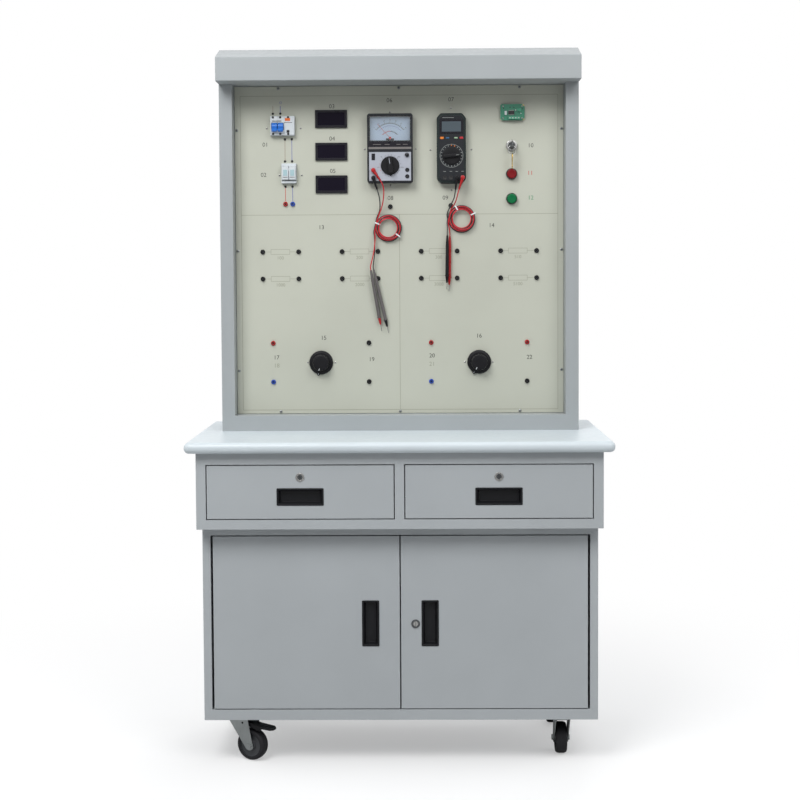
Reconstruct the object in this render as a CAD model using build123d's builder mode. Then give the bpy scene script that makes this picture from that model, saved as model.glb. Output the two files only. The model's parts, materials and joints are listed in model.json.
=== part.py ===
"""Electrical training cabinet: a wheeled steel cabinet with a worktop and an upright instrument panel.

Millimetres. The origin is on the floor under the middle of the cabinet, +Z is up, -Y is the front
and +X is to the right of someone who stands at the worktop.
"""

from build123d import *
import math
import os

os.makedirs("parts", exist_ok=True)

# Overall sizes
worktop_width = 1000.0
worktop_depth = 500.0
worktop_thickness = 26.0
base_height = 465.0
drawer_unit_height = 180.0
opening_height = 818.0
fascia_height = 58.0

# Worktop edge
worktop_top_nose = 12.0
worktop_under_nose = 5.0
worktop_corner = 12.0

# Sheet steel and clearances
sheet = 1.5
door_sheet = 1.2
running_gap = 0.3
pin_gap = 0.1
panel_gap = 1.0
fit_gap = 0.4
bend_radius = 2.0

# Lower cabinet
base_side_inset = 32.0
base_front_inset = 70.0
base_back_inset = 35.0
base_stile = 19.0
base_top_rail = 22.0
base_bottom_rail = 25.0
return_depth = 20.0
hinge_side_gap = 5.5
door_end_gap = 2.5
door_middle_gap = 3.0
door_depth = 18.0
door_flange = 14.0
hinge_inset = 9.0
hinge_pin_radius = 3.0
hinge_pin_reach = 6.0
shelf_height = 235.0
shelf_fold = 20.0
shelf_front = -140.0
shelf_ledge = 15.0

# Drawer unit
drawer_unit_side_inset = 25.0
drawer_unit_front_inset = 25.0
drawer_unit_back_inset = 15.0
drawer_top_rail = 28.0
drawer_bottom_rail = 22.5
drawer_stile = 23.0
middle_stile = 22.0
drawer_gap = 2.5
drawer_front_depth = 18.0
tray_rear_gap = 42.0
tray_height = 77.0
tray_lift = 5.5
carrier_height = 60.0
carrier_lift = 3.0

# Drawer slides
slide_width = 13.0
slide_height = 30.0
slide_sheet = 1.2
slide_reach = 10.0
slide_lift = 17.5

# Recessed pulls and locks
pull_length = 110.0
pull_width = 41.0
pull_lip = 2.5
pull_lip_thickness = 1.2
pull_depth = 15.0
pull_wall = 1.5
pull_slope = 4.0
pull_corner = 1.5
drawer_pull_drop = 11.0
drawer_lock_rise = 35.0
door_pull_offset = 70.5
door_pull_height = 232.0
door_lock_offset = 36.0
lock_barrel_radius = 9.0
lock_bezel_rim = 1.5
lock_bezel_height = 2.0
lock_plug_radius = 6.0
lock_keyway = (1.6, 7.5)
door_barrel_length = 18.5
drawer_barrel_length = 22.0
lock_cam_thickness = 2.0
lock_cam_width = 13.0
drawer_cam_length = 38.0
door_cam_length = 46.0

# Casters
wheel_radius = 37.5
wheel_width = 27.0
tread_depth = 10.0
tread_bevel = 3.5
hub_radius = 13.0
hub_sink = 5.0
axle_radius = 4.0
bolt_head_radius = 7.0
bolt_head = 4.0
caster_room = 35.0
caster_trail = 32.0
caster_side_inset = 80.0
caster_front_inset = 62.0
caster_back_inset = 65.0
caster_plate_length = 90.0
caster_plate_depth = 64.0
caster_plate_thickness = 2.5
race_radius = 24.0
race_height = 7.0
fork_gap = 31.0
fork_sheet = 2.5
left_caster_turn = -25.0
right_caster_turn = 90.0
brake_pin = 2.5
brake_width = 26.0
pedal_room = 24.5
shoe_gap = 3.0

# Upper housing
housing_side_inset = 58.0
housing_back_inset = 10.0
post_face = 32.0
bottom_rail = 38.0
panel_setback = 45.0
panel_thickness = 3.0
panel_ledge = 15.5
hood_reach = 59.0
hood_slope_rise = 28.0
hood_slope_run = 79.0
back_return = 25.0
back_cover_thickness = 1.2

# Heights and planes that follow from the sizes above
caster_height = 2 * wheel_radius + caster_room
base_bottom = caster_height
base_top = base_bottom + base_height
drawer_unit_bottom = base_top
drawer_unit_top = drawer_unit_bottom + drawer_unit_height
worktop_top = drawer_unit_top + worktop_thickness
opening_bottom = worktop_top + bottom_rail
opening_top = opening_bottom + opening_height
fascia_top = opening_top + fascia_height
hood_top = fascia_top + hood_slope_rise
base_front = base_front_inset - worktop_depth / 2
base_back = worktop_depth / 2 - base_back_inset
half_base = worktop_width / 2 - base_side_inset
drawer_unit_front = drawer_unit_front_inset - worktop_depth / 2
drawer_unit_back = worktop_depth / 2 - drawer_unit_back_inset
half_unit = worktop_width / 2 - drawer_unit_side_inset
housing_back = worktop_depth / 2 - housing_back_inset
half_housing = worktop_width / 2 - housing_side_inset
half_opening = half_housing - post_face
half_panel = half_opening - panel_gap
panel_back = panel_setback + panel_thickness
caster_x = half_base - caster_side_inset
caster_front_y = base_front + caster_front_inset
caster_back_y = base_back - caster_back_inset

# Instruments on the panel: x from the middle, z up from the lower edge of the opening
meter_x = -168.5
meter_heights = [opening_bottom + z for z in (736.0, 655.0, 574.0)]
meter_size = (79.5, 44.0)
meter_bezel = 5.0
meter_body = (75.0, 39.0, 60.0)
meter_window = (64.0, 26.0)
analog_centre = (-22.0, opening_bottom + 661.0)
analog_size = (113.0, 171.0)
analog_proud = 24.0
analog_behind = 20.0
analog_window = (102.0, 62.0)
panel_sink = 0.8
analog_window_rise = 48.5
analog_knob_drop = 43.0
analog_knob_radius = 23.0
needle_length = 46.0
needle_rest = 42.0
digital_centre = (130.0, opening_bottom + 660.0)
digital_size = (72.0, 173.0)
digital_proud = 25.0
digital_window = (63.0, 36.0)
digital_window_rise = 52.0
digital_dial_drop = 19.0
digital_dial_radius = 22.0
digital_key_rise = 25.0
digital_keys = (-23.4, -9.6, 11.2, 24.7)
breaker_centre = (-289.0, opening_bottom + 719.0)
breaker_size = (60.0, 48.0)
fuse_centre = (-274.0, opening_bottom + 601.5)
fuse_size = (37.0, 49.0)
module_proud = 14.0
module_behind = 45.0
circuit_centre = (282.0, opening_bottom + 749.0)
circuit_size = (60.0, 40.0)
switch_x = 280.0
key_height = opening_bottom + 667.0
stop_height = opening_bottom + 597.0
start_height = opening_bottom + 535.5
bezel_radius = 14.0
button_radius = 12.0
button_travel = 4.0
button_rest = 0.5

# Sockets, as offsets from the middle of each half of the panel
half_middle = 198.0
resistor_columns = (-144.0, -54.3, 54.3, 144.0)
resistor_rows = [opening_bottom + z for z in (406.5, 339.0)]
output_columns = (-120.0, 120.0)
output_rows = [opening_bottom + z for z in (178.0, 80.5)]
regulator_height = opening_bottom + 129.0
test_sockets = [(-22.4, opening_bottom + 517.5), (128.4, opening_bottom + 519.5)]
supply_sockets = [(x, opening_bottom + 525.5) for x in (-284.0, -266.0)]
jack_radius = 6.0
jack_proud = 5.0
jack_bore = 2.1
jack_bore_depth = 12.0
jack_shank = 4.0
jack_shank_length = 16.0

# Voltage regulators
knob_skirt_radius = 30.0
knob_skirt = 6.0
knob_grip_radius = 22.0
knob_grip = 18.0
knob_pointer = 35.0
left_knob_turn = 193.5
right_knob_turn = 207.0
shaft_radius = 4.0
transformer_radius = 62.0
transformer_length = 58.0
transformer_bore = 20.0

# Test leads
lead_diameter = 2.8
layer_step = 3.3
coil_turns = 3
lead_sides = 3
coil_outer = 35.5
coil_inner = 24.5

# Small round pieces are drawn with flats, so that many of them stay light
tiny_sides = 8
small_sides = 12
round_sides = 16
bezel_sides = 24
probe_sides = 6
knob_sides = 30
wheel_sides = 28

FRONT = Plane.XZ  # looks at the cabinet from the front: sketch x is +X, sketch y is +Z


def save(node, *pieces):
    """Writes one piece, or several that share a node, under the node's name."""
    group = pieces[0] if len(pieces) == 1 else Compound(children=list(pieces))
    group.label = node
    export_step(group, f"parts/{node}.step")


def facing(y):
    """A plane that faces the front at depth y. Extruding by a positive amount comes forwards."""
    return FRONT.offset(-y)


def across(x):
    """A plane square to X, whose sketch x is +Y and sketch y is +Z."""
    return Plane(origin=(x, 0, 0), x_dir=(0, 1, 0), z_dir=(1, 0, 0))


def solid_box(low, high, mode=Mode.ADD):
    """A box between two corners."""
    size = [b - a for a, b in zip(low, high)]
    middle = [(a + b) / 2 for a, b in zip(low, high)]
    with Locations(tuple(middle)):
        Box(*size, mode=mode)


def peg(x, z, radius, y_front, y_back, mode=Mode.ADD, sides=round_sides):
    """A round bar or bore along Y."""
    with BuildSketch(facing(y_back)) as disc:
        with Locations((x, z)):
            RegularPolygon(radius, sides)
    extrude(disc.sketch, amount=y_back - y_front, mode=mode)


def turned(x, z, angle):
    """A place on a sketch with its own axes turned anticlockwise."""
    return Location((x, z, 0), (0, 0, angle))


# Worktop


def build_worktop():
    """A board with rounded corners and a rounded front, side and back edge."""
    with BuildPart() as worktop:
        with BuildSketch(Plane.XY.offset(drawer_unit_top)):
            RectangleRounded(worktop_width, worktop_depth, worktop_corner)
        extrude(amount=worktop_thickness)
        fillet(worktop.faces().sort_by(Axis.Z)[-1].edges(), worktop_top_nose - 1)
        chamfer(worktop.faces().sort_by(Axis.Z)[0].edges(), worktop_under_nose)
    save("worktop", worktop.part)


# Lower cabinet

door_opening = half_base - base_stile
door_opening_bottom = base_bottom + base_bottom_rail
door_opening_top = base_top - base_top_rail
door_bottom = door_opening_bottom + door_end_gap
door_top = door_opening_top - door_end_gap
door_outer = door_opening - hinge_side_gap
door_inner = door_middle_gap / 2
door_back = base_front + door_depth
hinge_x = door_outer - hinge_inset
hinge_y = base_front + hinge_inset
shelf_z = base_bottom + shelf_height


def folded_returns(half_x, bottom, top, front, middle=0.0):
    """The sheet folded inwards around an opening, behind the front plate."""
    with BuildSketch(facing(front + return_depth)) as fold:
        with Locations((middle, (bottom + top) / 2)):
            Rectangle(2 * half_x + 2 * sheet, top - bottom + 2 * sheet)
            Rectangle(2 * half_x, top - bottom, mode=Mode.SUBTRACT)
    extrude(fold.sketch, amount=return_depth - sheet)


def build_base_cabinet():
    """The welded carcass: skin, folded door frame, hinge pin holes and shelf ledges."""
    with BuildPart() as carcass:
        solid_box((-half_base, base_front, base_bottom), (half_base, base_back, base_top))
        upright = carcass.edges().filter_by(Axis.Z).group_by(Axis.Y)[0]
        fillet(upright, bend_radius)
        solid_box(
            (-half_base + sheet, base_front + sheet, base_bottom + sheet),
            (half_base - sheet, base_back - sheet, base_top - sheet),
            mode=Mode.SUBTRACT,
        )
        solid_box(
            (-door_opening, base_front - 1, door_opening_bottom),
            (door_opening, base_front + sheet + 1, door_opening_top),
            mode=Mode.SUBTRACT,
        )
        folded_returns(door_opening, door_opening_bottom, door_opening_top, base_front)
        with BuildSketch(Plane.XY.offset(base_bottom + sheet)):
            with Locations((-hinge_x, hinge_y), (hinge_x, hinge_y)):
                RegularPolygon(hinge_pin_radius + pin_gap, round_sides)
        extrude(amount=base_height - 2 * sheet, mode=Mode.SUBTRACT)
        for side in (-1, 1):
            wall = side * (half_base - sheet)
            inner = side * (half_base - sheet - shelf_ledge)
            solid_box(
                (min(wall, inner), shelf_front + return_depth, shelf_z - sheet),
                (max(wall, inner), base_back - sheet, shelf_z),
            )
    save("base_cabinet", carcass.part)


def build_shelf():
    """The shelf as a plate with one fold at the front."""
    half = half_base - sheet - panel_gap
    back = base_back - sheet - panel_gap
    with BuildPart() as shelf:
        solid_box((-half, shelf_front, shelf_z), (half, back, shelf_z + sheet))
        solid_box(
            (-half + shelf_ledge + fit_gap, shelf_front, shelf_z - shelf_fold),
            (half - shelf_ledge - fit_gap, shelf_front + sheet, shelf_z),
        )
        top_edge = shelf.edges().filter_by(Axis.X).group_by(Axis.Y)[0].sort_by(Axis.Z)[-1]
        fillet(top_edge, sheet * 0.9)
    save("cabinet_shelf", shelf.part)


def pan(left, right, bottom, top, front, depth):
    """A sheet pan folded back round its edges, with an inward flange along the back."""
    solid_box((left, front, bottom), (right, front + depth, top))
    solid_box(
        (left + door_sheet, front + door_sheet, bottom + door_sheet),
        (right - door_sheet, front + depth - door_sheet, top - door_sheet),
        mode=Mode.SUBTRACT,
    )
    solid_box(
        (left + door_flange, front + door_sheet, bottom + door_flange),
        (right - door_flange, front + depth + 1, top - door_flange),
        mode=Mode.SUBTRACT,
    )


def lock_housing(x, z, front, barrel_length):
    """The fixed barrel and bezel of a cam lock, bored for its plug."""
    with BuildPart() as housing:
        peg(
            x, z, lock_barrel_radius + lock_bezel_rim,
            front - lock_bezel_height, front, sides=bezel_sides,
        )
        chamfer(housing.faces().sort_by(Axis.Y)[0].edges(), 0.8)
        peg(x, z, lock_barrel_radius, front, front + barrel_length, sides=small_sides)
        peg(
            x, z, lock_plug_radius + running_gap,
            front - lock_bezel_height - 1, front + barrel_length + 1, mode=Mode.SUBTRACT,
        )
    return housing.part


def lock_plug(x, z, front, barrel_length, cam_length, cam_x, cam_z):
    """The turning plug with its keyway, and the cam on its back end. The cam points along cam_x, cam_z."""
    back = front + barrel_length + running_gap
    with BuildPart() as plug:
        peg(x, z, lock_plug_radius, front - lock_bezel_height + 0.5, back)
        with BuildSketch(facing(front + 6)):
            with Locations((x, z)):
                Rectangle(*lock_keyway)
        extrude(amount=lock_bezel_height + 8, mode=Mode.SUBTRACT)
        turn = math.degrees(math.atan2(cam_z, cam_x))
        with BuildSketch(facing(back + lock_cam_thickness)):
            with Locations(turned(x, z, turn)):
                with Locations((cam_length / 2 - lock_cam_width / 4, 0)):
                    Rectangle(cam_length - lock_cam_width / 2, lock_cam_width)
                RegularPolygon(lock_cam_width / 2, small_sides)
        extrude(amount=lock_cam_thickness)
    return plug.part


def build_door(side):
    """A flush door on two pivot pins. side is -1 on the left and 1 on the right."""
    left, right = (door_inner, door_outer) if side > 0 else (-door_outer, -door_inner)
    with BuildPart() as door:
        pan(left, right, door_bottom, door_top, base_front, door_depth)
        with BuildSketch(facing(base_front + door_sheet)) as holes:
            with Locations((side * door_pull_offset, base_bottom + door_pull_height)):
                Rectangle(pull_width - 2 * pull_lip, pull_length - 2 * pull_lip)
            if side > 0:
                with Locations((door_lock_offset, base_bottom + door_pull_height - 1)):
                    RegularPolygon(lock_barrel_radius + pin_gap, small_sides)
        extrude(amount=door_sheet, mode=Mode.SUBTRACT)
        for low, high in (
            (door_top - 2 * hinge_pin_reach, door_top + hinge_pin_reach),
            (door_bottom - hinge_pin_reach, door_bottom + 2 * hinge_pin_reach),
        ):
            with BuildSketch(Plane.XY.offset(low)):
                with Locations((side * hinge_x, hinge_y)):
                    RegularPolygon(hinge_pin_radius, round_sides)
            extrude(amount=high - low)
    return door.part


def build_pull(x, z, front, upright):
    """A moulded recessed pull: a lip on the skin and a scooped cup behind it."""
    width, height = (pull_width, pull_length) if upright else (pull_length, pull_width)
    cup_width = width - 2 * pull_lip - fit_gap
    cup_height = height - 2 * pull_lip - fit_gap
    with BuildPart() as pull:
        with BuildSketch(facing(front)):
            with Locations((x, z)):
                Rectangle(width, height)
        extrude(amount=pull_lip_thickness)
        chamfer(pull.edges().filter_by(Axis.Y), pull_corner)
        with BuildSketch(facing(front + pull_depth)):
            with Locations((x, z)):
                Rectangle(cup_width, cup_height)
        extrude(amount=pull_depth)
        with BuildSketch(facing(front + pull_depth - pull_wall)):
            with Locations((x, z)):
                Rectangle(*[size - 2 * (pull_wall + pull_slope) for size in (cup_width, cup_height)])
        with BuildSketch(facing(front - pull_lip_thickness)):
            with Locations((x, z)):
                Rectangle(cup_width - 2 * pull_wall, cup_height - 2 * pull_wall)
        loft(ruled=True, mode=Mode.SUBTRACT)
    return pull.part


def build_doors():
    """Both doors, their pulls and the lock in the right door."""
    middle = base_bottom + door_pull_height
    lock_z = middle - 1
    save("door_left", build_door(-1))
    housing = lock_housing(door_lock_offset, lock_z, base_front, door_barrel_length)
    save("door_right", build_door(1), housing)
    save("door_pull_left", build_pull(-door_pull_offset, middle, base_front, True))
    save("door_pull_right", build_pull(door_pull_offset, middle, base_front, True))
    save(
        "door_lock",
        lock_plug(door_lock_offset, lock_z, base_front, door_barrel_length, door_cam_length, 0, -1),
    )


# Drawer unit

opening_inner = middle_stile / 2
opening_outer = half_unit - drawer_stile
drawer_opening_bottom = drawer_unit_bottom + drawer_bottom_rail
drawer_opening_top = drawer_unit_top - drawer_top_rail
drawer_middle = (opening_inner + opening_outer) / 2
drawer_face_bottom = drawer_opening_bottom + drawer_gap
drawer_face_top = drawer_opening_top - drawer_gap
drawer_face_middle = (drawer_face_bottom + drawer_face_top) / 2
drawer_half_face = (opening_outer - opening_inner) / 2 - drawer_gap
tray_half = (opening_outer - opening_inner) / 2 - slide_width
tray_front = drawer_unit_front + drawer_front_depth
tray_back = drawer_unit_back - tray_rear_gap
tray_bottom = drawer_opening_bottom + tray_lift
slide_bottom = drawer_opening_bottom + slide_lift


def slide_channel(web, side, bottom, height, y_front, y_back):
    """A folded channel along Y. web is the x of its upright face, and it opens towards side."""
    reach = side * slide_reach
    with BuildPart() as channel:
        with BuildSketch(facing(y_back)):
            with BuildLine():
                Polyline(
                    (web, bottom), (web + reach, bottom), (web + reach, bottom + slide_sheet),
                    (web + side * slide_sheet, bottom + slide_sheet),
                    (web + side * slide_sheet, bottom + height - slide_sheet),
                    (web + reach, bottom + height - slide_sheet),
                    (web + reach, bottom + height), (web, bottom + height), close=True,
                )
            make_face()
        extrude(amount=y_back - y_front)
    return channel.part


def build_drawer_case():
    """The drawer unit's carcass with its slide carriers, and the four fixed slide channels."""
    with BuildPart() as case:
        solid_box(
            (-half_unit, drawer_unit_front, drawer_unit_bottom),
            (half_unit, drawer_unit_back, drawer_unit_top),
        )
        fillet(case.edges().filter_by(Axis.Z).group_by(Axis.Y)[0], bend_radius)
        solid_box(
            (-half_unit + sheet, drawer_unit_front + sheet, drawer_unit_bottom + sheet),
            (half_unit - sheet, drawer_unit_back - sheet, drawer_unit_top + 1),
            mode=Mode.SUBTRACT,
        )
        for side in (-1, 1):
            middle = side * drawer_middle
            half = (opening_outer - opening_inner) / 2
            solid_box(
                (middle - half, drawer_unit_front - 1, drawer_opening_bottom),
                (middle + half, drawer_unit_front + sheet + 1, drawer_opening_top),
                mode=Mode.SUBTRACT,
            )
            folded_returns(half, drawer_opening_bottom, drawer_opening_top, drawer_unit_front, middle)
            for edge in (opening_inner - sheet, opening_outer):
                low = min(side * edge, side * (edge + sheet))
                solid_box(
                    (low, drawer_unit_front + sheet, drawer_opening_bottom + carrier_lift),
                    (low + sheet, drawer_unit_back - sheet,
                     drawer_opening_bottom + carrier_lift + carrier_height),
                )
    rails = []
    for side in (-1, 1):
        for web, opens in ((opening_inner, 1), (opening_outer, -1)):
            rails.append(slide_channel(
                side * web, side * opens, slide_bottom, slide_height,
                drawer_unit_front + return_depth, tray_back,
            ))
    save("drawer_case", case.part, *rails)


def build_tray(middle):
    """The open tray: floor, sides, front and back."""
    with BuildPart() as tray:
        solid_box(
            (middle - tray_half, tray_front, tray_bottom),
            (middle + tray_half, tray_back, tray_bottom + tray_height),
        )
        solid_box(
            (middle - tray_half + door_sheet, tray_front + door_sheet, tray_bottom + door_sheet),
            (middle + tray_half - door_sheet, tray_back - door_sheet, tray_bottom + tray_height + 1),
            mode=Mode.SUBTRACT,
        )
    return tray.part


def build_drawer(side, node):
    """A drawer: the folded front, the tray behind it and a runner channel on each side."""
    middle = side * drawer_middle
    lock_z = drawer_face_middle + drawer_lock_rise
    with BuildPart() as face:
        pan(
            middle - drawer_half_face, middle + drawer_half_face,
            drawer_face_bottom, drawer_face_top, drawer_unit_front, drawer_front_depth,
        )
        with BuildSketch(facing(drawer_unit_front + door_sheet)):
            with Locations((middle, drawer_face_middle - drawer_pull_drop)):
                Rectangle(pull_length - 2 * pull_lip, pull_width - 2 * pull_lip)
            with Locations((middle, lock_z)):
                RegularPolygon(lock_barrel_radius + pin_gap, small_sides)
        extrude(amount=door_sheet, mode=Mode.SUBTRACT)
    runner_height = slide_height - 2 * slide_sheet - 2 * running_gap
    runner_bottom = slide_bottom + slide_sheet + running_gap
    runners = [
        slide_channel(
            middle + end * tray_half, end, runner_bottom, runner_height, tray_front + 5, tray_back,
        )
        for end in (-1, 1)
    ]
    housing = lock_housing(middle, lock_z, drawer_unit_front, drawer_barrel_length)
    save(f"drawer_{node}", face.part, build_tray(middle), housing, *runners)
    save(
        f"drawer_pull_{node}",
        build_pull(middle, drawer_face_middle - drawer_pull_drop, drawer_unit_front, False),
    )
    save(
        f"drawer_lock_{node}",
        lock_plug(middle, lock_z, drawer_unit_front, drawer_barrel_length, drawer_cam_length, 1, 0),
    )


# Casters, built with the swivel axis on Z and the wheel trailing along +X

plate_bottom = caster_height - caster_plate_thickness
fork_top = plate_bottom - race_height
crown_radius = 28.0
cheek_radius = 12.0
brake_pivot = (14.0, fork_top - 9.5)


def side_plane(y):
    """A plane square to the axle, whose sketch x is +X and sketch y is +Z."""
    return Plane(origin=(0, y, 0), x_dir=(1, 0, 0), z_dir=(0, -1, 0))


def build_caster_plate():
    """The bolted plate with its pressed ball race below."""
    with BuildPart() as plate:
        with BuildSketch(Plane.XY.offset(plate_bottom)):
            Rectangle(caster_plate_length, caster_plate_depth)
            with GridLocations(caster_plate_length - 24, caster_plate_depth - 20, 2, 2):
                RegularPolygon(4.2, 6, mode=Mode.SUBTRACT)
        extrude(amount=caster_plate_thickness)
        with BuildSketch(Plane.XY.offset(fork_top + running_gap)):
            RegularPolygon(race_radius, round_sides)
        extrude(amount=race_height - running_gap)
        chamfer(plate.faces().sort_by(Axis.Z)[0].edges(), 2)
    return plate.part


def fork_outline():
    """One cheek of the fork: wide under the race, tapering to a round end below the axle."""
    round_end = [
        (caster_trail + cheek_radius * math.cos(a), wheel_radius + cheek_radius * math.sin(a))
        for a in map(math.radians, (-160, -125, -90, -55, -20))
    ]
    with BuildLine() as outline:
        Polyline(*round_end, (crown_radius, fork_top), (-crown_radius, fork_top), close=True)
    make_face(outline.edges())


def build_fork(brake):
    """The pressed fork: a round crown, two tapered cheeks and the axle bolt between them."""
    outside = fork_gap / 2 + fork_sheet
    with BuildPart() as fork:
        with BuildSketch(Plane.XY.offset(fork_top - fork_sheet)):
            RegularPolygon(crown_radius, round_sides)
            Rectangle(2 * crown_radius, 2 * outside, mode=Mode.INTERSECT)
        extrude(amount=fork_sheet)
        for y in (-fork_gap / 2, outside):
            with BuildSketch(side_plane(y)):
                fork_outline()
            extrude(amount=fork_sheet)
        if brake:
            with BuildSketch(side_plane(outside)):
                with Locations(brake_pivot):
                    RegularPolygon(brake_pin + pin_gap, small_sides)
            extrude(amount=2 * outside, mode=Mode.SUBTRACT)
        for y in (outside + bolt_head, -outside):
            with BuildSketch(side_plane(y)):
                with Locations((caster_trail, wheel_radius)):
                    RegularPolygon(bolt_head_radius, 6)
            extrude(amount=bolt_head)
        with BuildSketch(side_plane(outside)):
            with Locations((caster_trail, wheel_radius)):
                RegularPolygon(axle_radius, round_sides)
        extrude(amount=2 * outside)
    return fork.part


def build_wheel():
    """A moulded wheel: a bevelled tread, sides sunk round the hub, and a bore for the axle."""
    half = wheel_width / 2
    with BuildPart() as wheel:
        with BuildSketch(side_plane(half)):
            with Locations((caster_trail, wheel_radius)):
                RegularPolygon(wheel_radius, wheel_sides, major_radius=False, rotation=180 / wheel_sides)
        extrude(amount=wheel_width)
        chamfer(wheel.faces().filter_by(Axis.Y).edges(), tread_bevel)
        for face in (half, hub_sink - half):
            with BuildSketch(side_plane(face)):
                with Locations((caster_trail, wheel_radius)):
                    RegularPolygon(wheel_radius - tread_depth, small_sides)
                    RegularPolygon(hub_radius, small_sides, mode=Mode.SUBTRACT)
            extrude(amount=hub_sink, mode=Mode.SUBTRACT)
        with BuildSketch(side_plane(half)):
            with Locations((caster_trail, wheel_radius)):
                RegularPolygon(axle_radius + pin_gap, round_sides)
        extrude(amount=wheel_width, mode=Mode.SUBTRACT)
    return wheel.part


def build_brake():
    """The foot lever: a bent plate on a cross pin, with a shoe over the tread and a pedal outside."""
    pedal = caster_trail + wheel_radius + pedal_room
    below_crown = (
        (6, 6.5), (22, 6.5), (50, 12.5), (pedal, 16.5), (pedal, 21.5),
        (64, 20.5), (56, 26.5), (44, 21.5), (26, 16.5), (8, 14.5),
    )
    with BuildPart() as brake:
        with BuildSketch(side_plane(brake_width / 2)):
            with BuildLine():
                Polyline(*[(x, fork_top - drop) for x, drop in below_crown], close=True)
            make_face()
        extrude(amount=brake_width)
        with BuildSketch(side_plane(brake_width / 2 + 1)):
            with Locations((caster_trail, wheel_radius)):
                RegularPolygon(wheel_radius + shoe_gap, knob_sides)
        extrude(amount=brake_width + 2, mode=Mode.SUBTRACT)
        with BuildSketch(side_plane(fork_gap / 2 + fork_sheet)):
            with Locations(brake_pivot):
                RegularPolygon(brake_pin, small_sides)
        extrude(amount=fork_gap + 2 * fork_sheet)
        tip = brake.faces().sort_by(Axis.X)[-1].edges().filter_by(Axis.Z)
        chamfer(tip, 7)
    return brake.part


def build_casters():
    """Two braked swivel casters at the front and two fixed ones at the back."""
    plate = build_caster_plate()
    wheel = build_wheel()
    swivel = build_fork(True)
    brake = build_brake()
    front = {
        "left": Location((-caster_x, caster_front_y, 0), (0, 0, left_caster_turn)),
        "right": Location((caster_x, caster_front_y, 0), (0, 0, right_caster_turn)),
    }
    plates = [plate.moved(Location((x, caster_front_y, 0))) for x in (-caster_x, caster_x)]
    for side, place in front.items():
        save(f"caster_fork_{side}", swivel.moved(place))
        save(f"caster_brake_{side}", brake.moved(place))
        save(f"caster_wheel_front_{side}", wheel.moved(place))
    bracket = build_fork(False)
    with BuildPart() as fixed:
        add(bracket)
        with BuildSketch(Plane.XY.offset(fork_top)):
            RegularPolygon(race_radius, round_sides)
        extrude(amount=race_height)
        with BuildSketch(Plane.XY.offset(plate_bottom)):
            Rectangle(caster_plate_length, caster_plate_depth)
        extrude(amount=caster_plate_thickness)
    for side, x in (("left", -caster_x), ("right", caster_x)):
        place = Location((x, caster_back_y - caster_trail, 0), (0, 0, 90))
        plates.append(fixed.part.moved(place))
        save(f"caster_wheel_back_{side}", wheel.moved(place))
    save("caster_plates", *plates)


# Upper housing


def build_upper_frame():
    """Two hollow posts, the bottom rail and the ledge that the panel is screwed to."""
    with BuildPart() as frame:
        with BuildSketch(facing(sheet)):
            with Locations((0, (worktop_top + opening_top) / 2)):
                Rectangle(2 * half_housing, opening_top - worktop_top)
            with Locations((0, (opening_bottom + opening_top) / 2 + 1)):
                Rectangle(2 * half_opening, opening_height + 2, mode=Mode.SUBTRACT)
        extrude(amount=sheet)
        for side in (-1, 1):
            for x, back in ((half_housing - sheet, housing_back), (half_opening, panel_back + sheet)):
                wall = sorted((side * x, side * (x + sheet)))
                solid_box((wall[0], 0, worktop_top), (wall[1], back, opening_top))
            flange = sorted((side * (half_housing - sheet), side * (half_housing - back_return)))
            solid_box(
                (flange[0], housing_back - sheet, worktop_top), (flange[1], housing_back, opening_top)
            )
        solid_box(
            (-half_housing + sheet, 0, opening_bottom - sheet),
            (half_housing - sheet, panel_back, opening_bottom),
        )
        solid_box(
            (-half_housing + sheet, housing_back - sheet, worktop_top),
            (half_housing - sheet, housing_back, worktop_top + back_return),
        )
        with BuildSketch(facing(panel_back + sheet)):
            ledge_height = opening_height + sheet
            with Locations((0, opening_bottom - sheet + ledge_height / 2)):
                Rectangle(2 * (half_opening + sheet), ledge_height)
            with Locations((0, (opening_bottom + opening_top) / 2)):
                Rectangle(
                    2 * (half_opening - panel_ledge), opening_height - 2 * panel_ledge, mode=Mode.SUBTRACT
                )
        extrude(amount=sheet)
    save("upper_frame", frame.part)


def hood_outline(inset):
    """The hood's section from the side, drawn inset from its outside."""
    slope = math.atan2(hood_slope_rise, hood_slope_run)
    drop = inset * math.tan(slope / 2)
    with BuildLine() as outline:
        Polyline(
            (-hood_reach + inset, opening_top + inset),
            (-hood_reach + inset, fascia_top - inset * (1 - math.sin(slope)) / math.cos(slope)),
            (-hood_reach + hood_slope_run + drop, hood_top - inset),
            (housing_back - inset, hood_top - inset),
            (housing_back - inset, opening_top + inset),
            close=True,
        )
    make_face(outline.edges())


def build_hood():
    """The overhanging cap with a sloped top, open below behind the panel."""
    with BuildPart() as hood:
        with BuildSketch(across(-half_housing)):
            hood_outline(0)
        extrude(amount=2 * half_housing)
        fillet(hood.edges().filter_by(Axis.X).group_by(Axis.Y)[0], bend_radius)
        with BuildSketch(across(-half_housing + sheet)):
            hood_outline(sheet)
        extrude(amount=2 * (half_housing - sheet), mode=Mode.SUBTRACT)
        solid_box(
            (-half_housing + sheet, panel_back + sheet, opening_top - 1),
            (half_housing - sheet, housing_back - sheet, opening_top + sheet + 1),
            mode=Mode.SUBTRACT,
        )
    save("hood", hood.part)


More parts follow.
